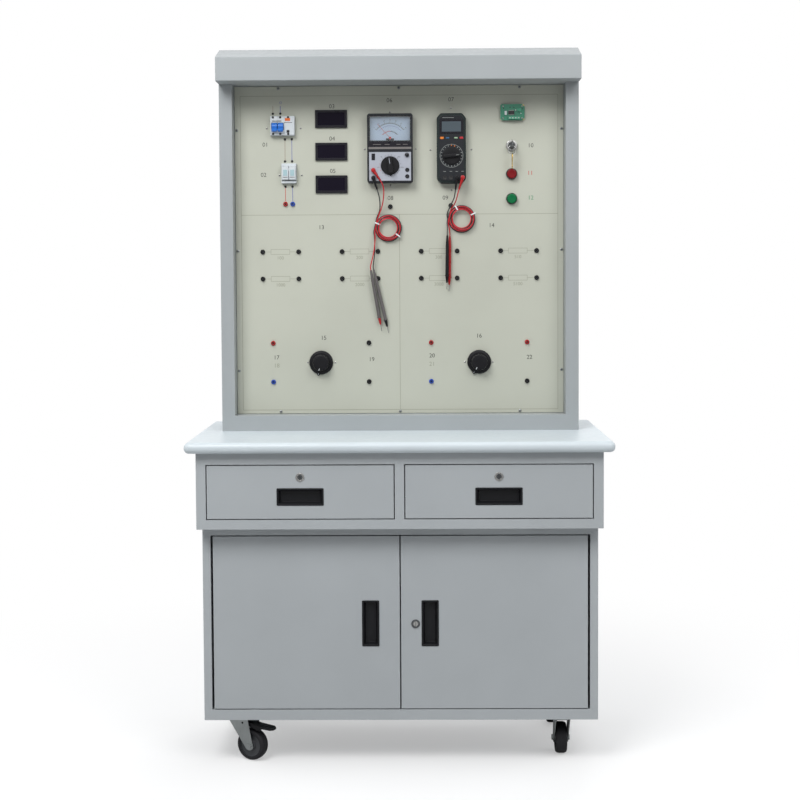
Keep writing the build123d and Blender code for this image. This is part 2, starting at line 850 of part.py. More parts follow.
def build_back_cover():
    """The screwed rear sheet with two groups of ventilation slots."""
    margin = 8.0
    with BuildPart() as cover:
        with BuildSketch(facing(housing_back + back_cover_thickness)):
            middle = (worktop_top + opening_top) / 2
            with Locations((0, middle)):
                Rectangle(2 * (half_housing - margin), opening_top - worktop_top - 2 * margin)
            for z in (opening_top - 120, worktop_top + 120):
                with Locations((0, z)):
                    with GridLocations(220, 16, 2, 4):
                        Rectangle(140, 5, mode=Mode.SUBTRACT)
        extrude(amount=back_cover_thickness)
    save("back_cover", cover.part)


# Instrument panel

switch_neck = 11.0
switch_hole = 11.6
analog_hole = (analog_size[0] - 5, analog_size[1] - 5)


def jack_places():
    """Where the sockets stand, by colour."""
    black, red, blue = list(test_sockets), [], []
    for side in (-1, 1):
        middle = side * half_middle
        black += [(middle + x, z) for x in resistor_columns for z in resistor_rows]
        left, right = (middle + x for x in output_columns)
        high, low = output_rows
        red.append((left, high))
        blue.append((left, low))
        black.append((right, low))
        if side < 0:
            black.append((right, high))
        else:
            red.append((right, high))
    red.append(supply_sockets[0])
    blue.append(supply_sockets[1])
    return {"black": black, "red": red, "blue": blue}


def panel_screw_places():
    """Screws round the edge of the panel, three to a side."""
    reach = 300.0
    x = half_panel - 5
    high = opening_top - panel_gap - 5
    low = opening_bottom + panel_gap + 5
    middle = (opening_top + opening_bottom) / 2
    level = [(s * reach, z) for s in (-1, 0, 1) for z in (low, high)]
    upright = [(s * x, middle + t * reach) for s in (-1, 1) for t in (-1, 0, 1)]
    return level + upright


def build_panel():
    """The panel sheet with its cut-outs."""
    height = opening_height - 2 * panel_gap
    middle = (opening_bottom + opening_top) / 2
    with BuildPart() as panel:
        with BuildSketch(facing(panel_back)):
            with Locations((0, middle)):
                Rectangle(2 * half_panel, height)
            with Locations(*[(meter_x, z) for z in meter_heights]):
                Rectangle(meter_body[0] + 1, meter_body[1] + 1, mode=Mode.SUBTRACT)
            with Locations(analog_centre):
                Rectangle(*analog_hole, mode=Mode.SUBTRACT)
            for centre, size in ((breaker_centre, breaker_size), (fuse_centre, fuse_size)):
                with Locations(centre):
                    Rectangle(size[0] + fit_gap, size[1] + fit_gap, mode=Mode.SUBTRACT)
            with Locations(*[(switch_x, z) for z in (key_height, stop_height, start_height)]):
                RegularPolygon(switch_hole, small_sides, mode=Mode.SUBTRACT)
            with Locations(*[(s * half_middle, regulator_height) for s in (-1, 1)]):
                RegularPolygon(shaft_radius + 1, small_sides, mode=Mode.SUBTRACT)
        extrude(amount=panel_thickness)
    save("instrument_panel", panel.part)


def build_screws():
    """Pan head screws that hold the panel."""
    with BuildPart() as screws:
        with BuildSketch(facing(panel_setback)):
            with Locations(*panel_screw_places()):
                RegularPolygon(3.8, 8)
        extrude(amount=2.2)
    save("panel_screws", screws.part)


def build_jacks():
    """Four millimetre safety sockets, one node for each colour."""
    for colour, places in jack_places().items():
        with BuildPart() as jacks:
            with BuildSketch(facing(panel_setback)):
                with Locations(*places):
                    RegularPolygon(jack_radius, tiny_sides)
            extrude(amount=jack_proud)
            with BuildSketch(facing(panel_setback - jack_proud)):
                with Locations(*places):
                    RegularPolygon(jack_bore, 6)
            extrude(amount=-(jack_proud - 0.8), mode=Mode.SUBTRACT)
        save(f"jacks_{colour}", jacks.part)


def build_panel_meters():
    """Three digital panel meters: a bezel on the panel and a case through it."""
    width, height = meter_size
    body_width, body_height, body_depth = meter_body
    window_width, window_height = meter_window
    meters, windows = [], []
    for z in meter_heights:
        with BuildPart() as meter:
            with BuildSketch(facing(panel_setback)):
                with Locations((meter_x, z)):
                    Rectangle(width, height)
            extrude(amount=meter_bezel)
            chamfer(meter.faces().sort_by(Axis.Y)[0].edges(), 2)
            with BuildSketch(facing(panel_setback - meter_bezel)):
                with Locations((meter_x, z)):
                    Rectangle(window_width, window_height)
            extrude(amount=-2, mode=Mode.SUBTRACT)
            with BuildSketch(facing(panel_setback + body_depth)):
                with Locations((meter_x, z)):
                    Rectangle(body_width, body_height)
            extrude(amount=body_depth)
        meters.append(meter.part)
        with BuildPart() as window:
            with BuildSketch(facing(panel_setback - meter_bezel + 2)):
                with Locations((meter_x, z)):
                    Rectangle(window_width - fit_gap, window_height - fit_gap)
            extrude(amount=1.2)
        windows.append(window.part)
    save("panel_meters", *meters)
    return windows


# Analog multimeter

analog_front = panel_setback - analog_proud
analog_window_z = analog_centre[1] + analog_window_rise
needle_pivot = (analog_centre[0], analog_window_z - 23.0)
analog_knob_z = analog_centre[1] - analog_knob_drop
analog_sockets_right = ((42.5, -54.0), (42.5, -70.0))
zero_place = (42.0, -17.0)


def build_analog_meter():
    """The moulded case with its window well, the scale plate, and the pieces that move in it."""
    x, z = analog_centre
    width, height = analog_size
    window_width, window_height = analog_window
    ledge = 2.0
    with BuildPart() as case:
        with BuildSketch(facing(panel_setback)):
            with Locations(analog_centre):
                Rectangle(width, height)
        extrude(amount=analog_proud)
        chamfer(case.edges().filter_by(Axis.Y), 4)
        chamfer(case.faces().sort_by(Axis.Y)[0].edges(), 1.5)
        with BuildSketch(facing(panel_setback + analog_behind)):
            with Locations(analog_centre):
                Rectangle(analog_hole[0] - 1, analog_hole[1] - 1)
        extrude(amount=analog_behind)
        with BuildSketch(facing(analog_front)):
            with Locations((x, analog_window_z)):
                Rectangle(window_width, window_height)
        extrude(amount=-1.5, mode=Mode.SUBTRACT)
        with BuildSketch(facing(analog_front)):
            with Locations((x, analog_window_z)):
                Rectangle(window_width - 2 * ledge, window_height - 2 * ledge)
        extrude(amount=-14, mode=Mode.SUBTRACT)
        with BuildSketch(facing(analog_front)):
            with Locations((x, z - 45)):
                Rectangle(width - 9, 71)
        extrude(amount=-panel_sink, mode=Mode.SUBTRACT)
        with BuildSketch(facing(analog_front)):
            with Locations(*[(x + a, z + b) for a, b in analog_sockets_right]):
                RegularPolygon(2.6, small_sides)
            with Locations((x, analog_knob_z)):
                RegularPolygon(4 + running_gap, small_sides)
            with Locations((x + zero_place[0], z + zero_place[1])):
                RegularPolygon(2 + running_gap, small_sides)
        extrude(amount=-12, mode=Mode.SUBTRACT)
    with BuildPart() as plate:
        with BuildSketch(facing(analog_front + 14)):
            with Locations((x, analog_window_z)):
                Rectangle(window_width - 2 * ledge - fit_gap, window_height - 2 * ledge - fit_gap)
        extrude(amount=1)
        peg(*needle_pivot, 3, analog_front + 7.8, analog_front + 13, sides=8)
    save("analog_case", case.part, plate.part)
    with BuildPart() as lens:
        with BuildSketch(facing(analog_front + 1.5)):
            with Locations((x, analog_window_z)):
                Rectangle(window_width - fit_gap, window_height - fit_gap)
        extrude(amount=1.3)
    with BuildPart() as needle:
        with BuildSketch(facing(analog_front + 7.5)):
            with Locations(needle_pivot):
                RegularPolygon(3.5, small_sides)
            with Locations(turned(*needle_pivot, 90 + needle_rest)):
                with Locations((needle_length / 2, 0)):
                    Rectangle(needle_length, 0.9)
        extrude(amount=0.6)
    save("analog_needle", needle.part)
    with BuildPart() as knob:
        face = analog_front + panel_sink - running_gap
        with BuildSketch(facing(face)):
            with Locations((x, analog_knob_z)):
                RegularPolygon(analog_knob_radius, knob_sides)
                with Locations((1.0, -analog_knob_radius - 0.5)):
                    RegularPolygon(4, 3, rotation=-90)
        extrude(amount=4)
        with BuildSketch(facing(face - 4)):
            with Locations(turned(x, analog_knob_z, 88)):
                Rectangle(2 * analog_knob_radius - 4, 15)
                RegularPolygon(13, round_sides)
        extrude(amount=9)
        peg(x, analog_knob_z, 4, face, face + 10, sides=small_sides)
    save("analog_range_knob", knob.part)
    with BuildPart() as zero:
        place = (x + zero_place[0], z + zero_place[1])
        with BuildSketch(facing(face)):
            with Locations(place):
                RegularPolygon(5.2, 12)
        extrude(amount=4)
        peg(*place, 2, face, face + 8, sides=small_sides)
    save("analog_zero_knob", zero.part)
    return lens.part


# Digital multimeter

digital_front = panel_setback - digital_proud
digital_window_z = digital_centre[1] + digital_window_rise
digital_dial_z = digital_centre[1] - digital_dial_drop
digital_key_z = digital_centre[1] + digital_key_rise
digital_sockets = (-17.0, -1.5, 13.0, 27.5)
digital_socket_drop = 73.0
key_size = (9.0, 5.5)
key_travel = 0.8


def build_digital_meter():
    """A case in its rubber holster, with a display window, four keys and the dial."""
    x, z = digital_centre
    width, height = digital_size
    with BuildPart() as case:
        with BuildSketch(facing(panel_setback)):
            with Locations(digital_centre):
                Rectangle(width, height)
        extrude(amount=digital_proud)
        chamfer(case.edges().filter_by(Axis.Y), 11, 8)
        chamfer(case.faces().sort_by(Axis.Y)[0].edges(), 3)
        with BuildSketch(facing(digital_front)):
            with Locations((x, digital_window_z)):
                Rectangle(*digital_window)
        extrude(amount=-1.5, mode=Mode.SUBTRACT)
        with BuildSketch(facing(digital_front)):
            with Locations(*[(x + a, z - digital_socket_drop) for a in digital_sockets[:2]]):
                RegularPolygon(2.6, small_sides)
            with Locations((x, digital_dial_z)):
                RegularPolygon(4 + running_gap, small_sides)
        extrude(amount=-12, mode=Mode.SUBTRACT)
        with BuildSketch(facing(digital_front)):
            with Locations(*[(x + a, digital_key_z) for a in digital_keys]):
                Rectangle(key_size[0] + 2 * running_gap, key_size[1] + 2 * running_gap)
        extrude(amount=-4, mode=Mode.SUBTRACT)
    save("dmm_case", case.part)
    with BuildPart() as window:
        with BuildSketch(facing(digital_front + 1.5)):
            with Locations((x, digital_window_z)):
                Rectangle(digital_window[0] - fit_gap, digital_window[1] - fit_gap)
        extrude(amount=1.3)
    with BuildPart() as dial:
        face = digital_front - running_gap
        with BuildSketch(facing(face)):
            with Locations((x, digital_dial_z)):
                RegularPolygon(digital_dial_radius, knob_sides)
        extrude(amount=3)
        with BuildSketch(facing(face - 3)):
            with Locations((x, digital_dial_z)):
                Rectangle(2 * digital_dial_radius - 2, 11)
        extrude(amount=8)
        peg(x, digital_dial_z, 4, face, face + 10, sides=small_sides)
    save("dmm_dial", dial.part)
    with BuildPart() as keys:
        with BuildSketch(facing(digital_front + 4 - key_travel - 0.3)):
            with Locations(*[(x + a, digital_key_z) for a in digital_keys]):
                Rectangle(*key_size)
        extrude(amount=4 - key_travel - 0.3 + 1.4)
    save("dmm_keys", keys.part)
    return window.part


# Breaker and fuses

breaker_front = panel_setback - module_proud
toggle_pivot = (breaker_front + 4.0, breaker_centre[1] - 2.0)
toggle_drum = 9.5
toggle_left = breaker_centre[0] - breaker_size[0] / 2 + 2.5
toggle_width = 31.0
test_place = (breaker_centre[0] + 14.0, breaker_centre[1] - 14.0)
test_size = 6.0
test_travel = 1.5
fuse_pivot = (breaker_front + 3.5, fuse_centre[1] - 14.0)
carrier_radius = 31.2
carrier_width = 16.6


def build_breaker():
    """A two pole breaker with a leakage unit beside it, its linked toggles and its test button."""
    x, z = breaker_centre
    width, height = breaker_size
    with BuildPart() as body:
        with BuildSketch(facing(panel_back + module_behind)):
            with Locations(breaker_centre):
                Rectangle(width, height)
        extrude(amount=module_behind + panel_thickness + module_proud)
        front_edges = body.faces().sort_by(Axis.Y)[0].edges().filter_by(Axis.X)
        chamfer(front_edges, 2)
        with BuildSketch(facing(panel_back + module_behind)):
            with Locations(breaker_centre):
                Rectangle(width, height + 36)
        extrude(amount=module_behind - 2)
        drum = Plane(origin=(toggle_left - running_gap, 0, 0), x_dir=(0, 1, 0), z_dir=(1, 0, 0))
        with BuildSketch(drum):
            with Locations(toggle_pivot):
                RegularPolygon(toggle_drum + 2 * running_gap, round_sides)
        extrude(amount=toggle_width + 2 * running_gap, mode=Mode.SUBTRACT)
        with BuildSketch(facing(breaker_front)):
            with Locations(test_place):
                Rectangle(test_size + 2 * running_gap, test_size + 2 * running_gap)
        extrude(amount=-4, mode=Mode.SUBTRACT)
        with BuildSketch(facing(breaker_front)):
            with Locations((x - width / 2 + 36, z)):
                Rectangle(0.6, height + 2)
            with Locations((x - width / 2 + 18, z + 15)):
                Rectangle(0.6, 14)
        extrude(amount=-1, mode=Mode.SUBTRACT)
    save("breaker_body", body.part)
    with BuildPart() as toggle:
        with BuildSketch(Plane(origin=(toggle_left, 0, 0), x_dir=(0, 1, 0), z_dir=(1, 0, 0))):
            with Locations(toggle_pivot):
                RegularPolygon(toggle_drum, round_sides)
            with Locations(turned(*toggle_pivot, 180 + 42)):
                with Locations((toggle_drum + 2, 0)):
                    Rectangle(14, 5.5)
        extrude(amount=toggle_width)
    save("breaker_toggle", toggle.part)
    with BuildPart() as test:
        with BuildSketch(facing(breaker_front + 4 - test_travel - 0.3)):
            with Locations(test_place):
                Rectangle(test_size, test_size)
        extrude(amount=4 - test_travel - 0.3 + 1.8)
    save("breaker_test_button", test.part)


def build_fuse_holder():
    """A two pole fuse base whose carriers tip out together about a low hinge line."""
    x, z = fuse_centre
    width, height = fuse_size
    pivot_y, pivot_z = fuse_pivot
    carrier_back = pivot_y + 17
    carrier_front = breaker_front - 3
    carrier_bottom = pivot_z - 3.2
    with BuildPart() as base:
        with BuildSketch(facing(panel_back + module_behind)):
            with Locations(fuse_centre):
                Rectangle(width, height)
        extrude(amount=module_behind + panel_thickness + module_proud - 4)
        with BuildSketch(facing(panel_back + module_behind)):
            with Locations(fuse_centre):
                Rectangle(width, height + 30)
        extrude(amount=module_behind - 2)
        pocket_bottom = pivot_z - 5.0
        pocket_top = pivot_z + carrier_radius + 0.4
        for column in (-1, 1):
            middle = x + column * (carrier_width / 2 + 0.7)
            solid_box(
                (middle - carrier_width / 2 - running_gap, breaker_front - 1, pocket_bottom),
                (middle + carrier_width / 2 + running_gap, carrier_back + 0.6, pocket_top),
                mode=Mode.SUBTRACT,
            )
    save("fuse_base", base.part)
    carriers = []
    top_front = pivot_z + math.sqrt(carrier_radius ** 2 - (pivot_y - carrier_front) ** 2)
    top_back = pivot_z + math.sqrt(carrier_radius ** 2 - (carrier_back - pivot_y) ** 2)
    for column in (-1, 1):
        middle = x + column * (carrier_width / 2 + 0.7)
        with BuildPart() as carrier:
            with BuildSketch(across(middle - carrier_width / 2)):
                with BuildLine():
                    Polyline(
                        (carrier_front, top_front), (carrier_front, carrier_bottom + 3),
                        (carrier_front + 3, carrier_bottom), (carrier_back, carrier_bottom),
                        (carrier_back, top_back),
                    )
                    ThreePointArc(
                        (carrier_back, top_back),
                        (pivot_y, pivot_z + carrier_radius),
                        (carrier_front, top_front),
                    )
                make_face()
            extrude(amount=carrier_width)
        carriers.append(carrier.part)
    with BuildPart() as link:
        solid_box(
            (x - 0.7, carrier_front, pivot_z + 20), (x + 0.7, carrier_front + 3, pivot_z + 26)
        )
    save("fuse_carriers", *carriers, link.part)


# Circuit module, switches and regulators


def build_circuit_module():
    """A small circuit board on four pillars, with its chip and a few parts."""
    x, z = circuit_centre
    width, height = circuit_size
    board_back = panel_setback - 6
    with BuildPart() as board:
        with BuildSketch(facing(board_back)):
            with Locations(circuit_centre):
                Rectangle(width, height)
        extrude(amount=1.6)
    with BuildPart() as pillars:
        with BuildSketch(facing(panel_setback)):
            with Locations(circuit_centre):
                with GridLocations(width - 8, height - 8, 2, 2):
                    RegularPolygon(3, 6)
        extrude(amount=6)
    with BuildPart() as chips:
        with BuildSketch(facing(board_back - 1.6)):
            with Locations((x - 3, z - 1)):
                Rectangle(16, 9)
            with Locations((x - 17, z - 2)):
                Rectangle(6, 10)
            with Locations((x + 16, z + 5)):
                Rectangle(12, 8)
        extrude(amount=4)
        with BuildSketch(facing(board_back - 1.6)):
            with Locations((x + 4, z - 13)):
                Rectangle(30, 7)
        extrude(amount=7)
    save("circuit_module", board.part, pillars.part, chips.part)


bezel_height = 7.0
cap_proud = 6.0
cap_bore_rest = 0.5
key_plug_radius = 8.0
key_bore_depth = 14.0
switch_block = 30.0
block_front = panel_back + 22.0


def build_switches():
    """Three panel switch bodies with chrome bezels, two push buttons, a key and its spare."""
    bezel_front = panel_setback - bezel_height
    bores = {
        key_height: (key_plug_radius, bezel_front + key_bore_depth),
        stop_height: (button_radius, panel_setback - cap_bore_rest),
        start_height: (button_radius, panel_setback - cap_bore_rest),
    }
    bodies = []
    for z, (radius, bottom) in bores.items():
        with BuildPart() as body:
            peg(switch_x, z, bezel_radius, bezel_front, panel_setback, sides=bezel_sides)
            chamfer(body.faces().sort_by(Axis.Y)[0].edges(), 1.2)
            peg(switch_x, z, switch_neck, panel_setback, block_front, sides=small_sides)
            half = switch_block / 2
            solid_box(
                (switch_x - half, block_front, z - half),
                (switch_x + half, block_front + switch_block, z + half),
            )
            peg(switch_x, z, radius + running_gap, bezel_front - 1, bottom, mode=Mode.SUBTRACT)
        bodies.append(body.part)
    save("switch_bezels", *bodies)
    for name, z in (("stop_button", stop_height), ("start_button", start_height)):
        with BuildPart() as button:
            back = panel_setback - cap_bore_rest - button_travel - button_rest
            peg(switch_x, z, button_radius, bezel_front - cap_proud, back)
            chamfer(button.faces().sort_by(Axis.Y)[0].edges(), 1.5)
        save(name, button.part)


key_thickness = 2.2
key_bow = (24.0, 22.0)
key_neck = 3.0
key_bow_hole = 3.6
ring_radius = 10.0
ring_wire = 0.9
ring_seat = 0.5


def key_profile(length, bow_width, bow_length):
    """A flat key seen from its side: a blade with cuts and a rounded bow. Drawn with the blade along +x."""
    with BuildLine() as outline:
        Polyline(
            (0, 3.4), (length, 3.4), (length + 2, 1.5), (length, -0.6), (length * 0.78, -2.2),
            (length * 0.62, -0.8), (length * 0.45, -2.4), (length * 0.28, -1.2), (0, -3.4), close=True,
        )
    make_face(outline.edges())
    with Locations((-bow_length / 2 + 1, 0)):
        RegularPolygon(bow_width / 2, small_sides)


def build_keys():
    """The key in the switch, with its turning plug, and the spare that hangs on a ring from it."""
    plug_front = panel_setback - bezel_height - 1
    bow_front = plug_front - key_bow[1]
    hole_y = bow_front + 6.5
    with BuildPart() as key:
        peg(switch_x, key_height, key_plug_radius, plug_front, plug_front + key_bore_depth)
        with BuildSketch(
            Plane(origin=(switch_x - key_thickness / 2, plug_front, key_height),
                  x_dir=(0, 1, 0), z_dir=(1, 0, 0))
        ):
            with Locations((-key_bow[1] / 2, 0)):
                RegularPolygon(key_bow[1] / 2, small_sides)
            Rectangle(2 * key_neck, key_bow[0] / 2)
            with Locations((hole_y - plug_front, 0)):
                RegularPolygon(key_bow_hole, small_sides, mode=Mode.SUBTRACT)
        extrude(amount=key_thickness)
    save("switch_key", key.part)
    sag = key_bow_hole - ring_wire - ring_seat
    ring_top = key_height - sag
    ring_middle = ring_top - ring_radius
    with BuildPart() as ring:
        with BuildSketch(facing(hole_y + ring_wire)):
            with Locations((switch_x, ring_middle)):
                RegularPolygon(ring_radius + ring_wire, round_sides)
                RegularPolygon(ring_radius - ring_wire, round_sides, mode=Mode.SUBTRACT)
        extrude(amount=2 * ring_wire)
    spare_top = ring_middle - ring_radius
    with BuildPart() as spare:
        hang = Plane(
            origin=(switch_x - key_thickness / 2, hole_y, spare_top - sag - 14),
            x_dir=(0, 0, -1), z_dir=(1, 0, 0),
        )
        with BuildSketch(hang):
            key_profile(18, 20, 19)
            with Locations((-14, 0)):
                RegularPolygon(key_bow_hole, small_sides, mode=Mode.SUBTRACT)
        extrude(amount=key_thickness)
    save("spare_key", ring.part, spare.part)
    return hole_y


def build_regulator(side, turn, node):
    """A pointer knob on the shaft of a variable transformer, with the brush arm at the other end."""
    x = side * half_middle
    z = regulator_height
    face = panel_setback - running_gap
    brush_y = panel_back + 6 + transformer_length + 2
    with BuildPart() as knob:
        with BuildSketch(facing(face)):
            with Locations(turned(x, z, -turn)):
                RegularPolygon(knob_skirt_radius, knob_sides)
                Polygon(
                    (-6, knob_skirt_radius - 3), (6, knob_skirt_radius - 3), (0, knob_pointer),
                    align=None,
                )
        extrude(amount=knob_skirt)
        with BuildSketch(facing(face - knob_skirt)):
            with Locations(turned(x, z, -turn)):
                RegularPolygon(knob_grip_radius, knob_sides)
                with PolarLocations(knob_grip_radius, 12):
                    RegularPolygon(2.4, 4, mode=Mode.SUBTRACT)
        extrude(amount=knob_grip)
        peg(x, z, shaft_radius, face, brush_y, sides=small_sides)
        with BuildSketch(facing(brush_y + 3)):
            with Locations(turned(x, z, -turn)):
                with Locations((0, 22)):
                    Rectangle(12, 60)
        extrude(amount=3)
    save(f"regulator_knob_{node}", knob.part)


def build_transformers():
    """The wound rings that the regulator shafts pass through."""
    rings = []
    for side in (-1, 1):
        with BuildPart() as ring:
            with BuildSketch(facing(panel_back + 6 + transformer_length)):
                with Locations((side * half_middle, regulator_height)):
                    RegularPolygon(transformer_radius, round_sides)
                    RegularPolygon(transformer_bore, round_sides, mode=Mode.SUBTRACT)
            extrude(amount=transformer_length)
            with BuildSketch(facing(panel_back + 8)):
                with Locations((side * half_middle, regulator_height)):
                    RegularPolygon(50, 3)
                    RegularPolygon(shaft_radius + 1, small_sides, mode=Mode.SUBTRACT)
            extrude(amount=8)
        rings.append(ring.part)
    save("autotransformers", *rings)


# Test leads


def biarc(start, heading, end, end_heading):
    """Two arcs that leave start along heading and arrive at end along end_heading."""
    reach = end - start
    both = heading + end_heading
    spare = 2 * (1 - heading.dot(end_heading))
    along = reach.dot(both)
    if spare < 1e-9:
        size = reach.dot(reach) / (2 * along)
    else:
        size = (-along + math.sqrt(along * along + spare * reach.dot(reach))) / spare
    joint = (start + end + (heading - end_heading) * size) * 0.5
    joint_heading = (reach - both * size).normalized()
    TangentArc(start, joint, tangent=heading)
    TangentArc(joint, end, tangent=joint_heading)


def coil_knots(centre, outer, inner, entry_y, exit_y, start_turn):
    """Places and headings along a coil that spirals in on one layer and out again on the next."""
    cx, cz = centre
    steps = 4
    total = math.radians(360 * coil_turns + 180 - start_turn)
    first = math.radians(start_turn)
    knots = []
    for i in range(2 * steps + 1):
        angle = first + total * i / (2 * steps)
        inwards = (outer - inner) / steps
        away = abs(i - steps)
        radius = inner + inwards * away
        shift = 0.0 if i in (0, steps, 2 * steps) else math.copysign(inwards, i - steps)
        rate = shift * 2 * steps / total
        y = entry_y if i < steps else exit_y
        climb = 0.0
        if i == steps:
            y = (entry_y + exit_y) / 2
            climb = (exit_y - entry_y) / (total / steps) * 0.9
        place = Vector(cx + radius * math.cos(angle), y, cz + radius * math.sin(angle))
        heading = Vector(
            rate * math.cos(angle) - radius * math.sin(angle),
            climb,
            rate * math.sin(angle) + radius * math.cos(angle),
        )
        knots.append((place, heading.normalized(), radius))
    return knots


def build_coil(name, knots):
    """One unbroken tube along a coil's knots."""
    with BuildPart() as coil:
        with BuildLine() as path:
            for (a, ha, _), (b, hb, _) in zip(knots, knots[1:]):
                biarc(a, ha, b, hb)
        with BuildSketch(Plane(origin=knots[0][0], z_dir=knots[0][1])):
            RegularPolygon(lead_diameter / 2, lead_sides)
        sweep()
    length = path.wire().length
    report_tube(name, coil.part, length)
    report_gap(name, path.wire())
    return coil.part, length


def report_tube(name, part, length):
    """Prints a tube's volume against its section times its length."""
    area = lead_sides / 2 * math.sin(2 * math.pi / lead_sides) * (lead_diameter / 2) ** 2
    print(f"{name}: length {length:.1f}, volume {part.volume:.1f}, section x length {area * length:.1f}")


def report_gap(name, wire):
    """Prints the least gap between one turn of a coil and the next, measured on points."""
    count = int(wire.length / 2)
    points = [wire.position_at(i / count) for i in range(count + 1)]
    skip = int(4 * lead_diameter / 2)
    least = min(
        (points[i] - points[j]).length
        for i in range(len(points))
        for j in range(i + skip, len(points))
    )
    print(f"{name}: least gap to itself {least - lead_diameter:.2f}")


def build_run(name, points):
    """A free stretch of lead: straight runs joined by arcs as large as the runs allow."""
    radii = []
    for a, b, c in zip(points, points[1:], points[2:]):
        turn = math.radians((b - a).get_angle(c - b))
        shorter = min((b - a).length, (c - b).length)
        radii.append(0.45 * shorter / math.tan(turn / 2))
    with BuildPart() as run:
        with BuildLine() as path:
            FilletPolyline(*points, radius=radii)
        with BuildSketch(Plane(origin=points[0], z_dir=(points[1] - points[0]).normalized())):
            RegularPolygon(lead_diameter / 2, lead_sides)
        sweep()
    print(f"{name}: arc radii", [round(r, 1) for r in radii])
    report_tube(name, run.part, path.wire().length)
    return run.part, path.wire().length


# Each lead: plug socket, plug heading, coil centre and layers, the places it passes and the probe's two
# ends, whose heights are measured from the opening's lower edge
analog_coil = (-26.5, opening_bottom + 464.0)
digital_coil = (156.5, opening_bottom + 486.0)
black_shift = 2.4
layers = [panel_setback - lead_diameter / 2 - 0.3 - i * layer_step for i in range(4)]
plug_head_radius = 5.5
plug_proud = 9.0
plug_arm = 30.0
analog_plug_y = analog_front + panel_sink - plug_proud / 2
digital_plug_y = digital_front - plug_proud / 2

leads = {
    "analog_red": {
        "colour": "red",
        "socket": (analog_centre[0] - 41.4, analog_centre[1] - 54.5),
        "plug_y": analog_plug_y, "arm": (0.56, -0.83), "face": analog_front + panel_sink,
        "coil": analog_coil, "outer": coil_outer - black_shift, "inner": coil_inner - black_shift,
        "entry_y": layers[2], "exit_y": layers[3], "start_turn": 155.0,
        "upper": [(-37.6, 19.5, 559.0), (-38.4, 25.5, 538.0), (-43.5, 32.5, 514.0)],
        "lower": [(-60.2, 32.6, 443.0), (-61.6, 31.6, 421.0), (-65.6, 30.6, 395.0)],
        "probe": (-71.6, 30.0, 360.0), "tip": (-45.6, 38.4, 207.0),
    },
    "analog_black": {
        "colour": "black",
        "socket": (analog_centre[0] - 41.4, analog_centre[1] - 73.5),
        "plug_y": analog_plug_y, "arm": (0.30, -0.95), "face": analog_front + panel_sink,
        "coil": analog_coil, "outer": coil_outer, "inner": coil_inner,
        "entry_y": layers[0], "exit_y": layers[1], "start_turn": 155.0,
        "upper": [(-48.6, 22.0, 538.0), (-47.4, 31.5, 522.0), (-49.0, 39.8, 506.0)],
        "lower": [(-62.4, 38.4, 443.0), (-61.4, 36.2, 423.0), (-61.8, 34.6, 397.0)],
        "probe": (-64.8, 33.6, 361.0), "tip": (-28.0, 38.4, 202.0),
    },
    "digital_red": {
        "colour": "red",
        "socket": (digital_centre[0] + 27.5, digital_centre[1] - digital_socket_drop),
        "plug_y": digital_plug_y, "arm": (-0.30, -0.95), "face": digital_front,
        "coil": digital_coil, "outer": coil_outer - black_shift, "inner": coil_inner - black_shift,
        "entry_y": layers[2], "exit_y": layers[3], "start_turn": 155.0,
        "upper": [(142.8, 20.5, 537.0), (138.6, 29.0, 523.5)],
        "lower": [(124.3, 36.2, 462.0)],
        "probe": (125.5, 39.0, 443.0), "tip": (123.4, 39.0, 305.0),
    },
    "digital_black": {
        "colour": "black",
        "socket": (digital_centre[0] + 13.0, digital_centre[1] - digital_socket_drop),
        "plug_y": digital_plug_y, "arm": (-0.12, -0.99), "face": digital_front,
        "coil": digital_coil, "outer": coil_outer, "inner": coil_inner,
        "entry_y": layers[0], "exit_y": layers[1], "start_turn": 180.0,
        "upper": [(136.6, 21.0, 537.5), (130.5, 30.0, 525.0), (124.2, 38.2, 511.5)],
        "lower": [(120.0, 34.7, 461.0)],
        "probe": (119.0, 29.4, 445.0), "tip": (117.6, 29.4, 310.0),
    },
}


def above(place):
    """A place whose height is given from the opening's lower edge."""
    x, y, z = place
    return Vector(x, y, opening_bottom + z)


def build_plug(lead):
    """A right-angled plug: a round head in the socket and a tapered arm that the lead leaves."""
    x, z = lead["socket"]
    ax, az = lead["arm"]
    size = math.hypot(ax, az)
    along = Vector(ax / size, 0, az / size)
    start = Vector(x, lead["plug_y"], z)
    face = lead["face"]
    with BuildPart() as plug:
        peg(x, z, plug_head_radius, face - plug_proud, face, sides=small_sides)
        with BuildSketch(Plane(origin=start, z_dir=along)):
            RegularPolygon(4.2, probe_sides)
        with BuildSketch(Plane(origin=start + along * plug_arm, z_dir=along)):
            RegularPolygon(2.4, probe_sides)
        loft()
    return plug.part, start + along * plug_arm, along


def build_probe(start, tip):
    """A test probe: a tapered handle with a finger guard, a coloured nose and a steel tip."""
    line = tip - start
    length = line.length
    along = line.normalized()
    tip_length = 17.0
    handle = length - tip_length
    sections = (
        ((0.0, 2.2), (24.0, 4.0), (handle - 19.0, 4.2)),
        ((handle - 19.0, 5.3), (handle - 17.0, 5.3)),
        ((handle - 17.0, 4.0), (handle, 1.9)),
        ((handle, 0.9), (length, 0.5)),
    )
    with BuildPart() as probe:
        for stretch in sections:
            for s, radius in stretch:
                with BuildSketch(Plane(origin=start + along * s, z_dir=along)):
                    RegularPolygon(radius, probe_sides)
            loft(ruled=True)
    return probe.part


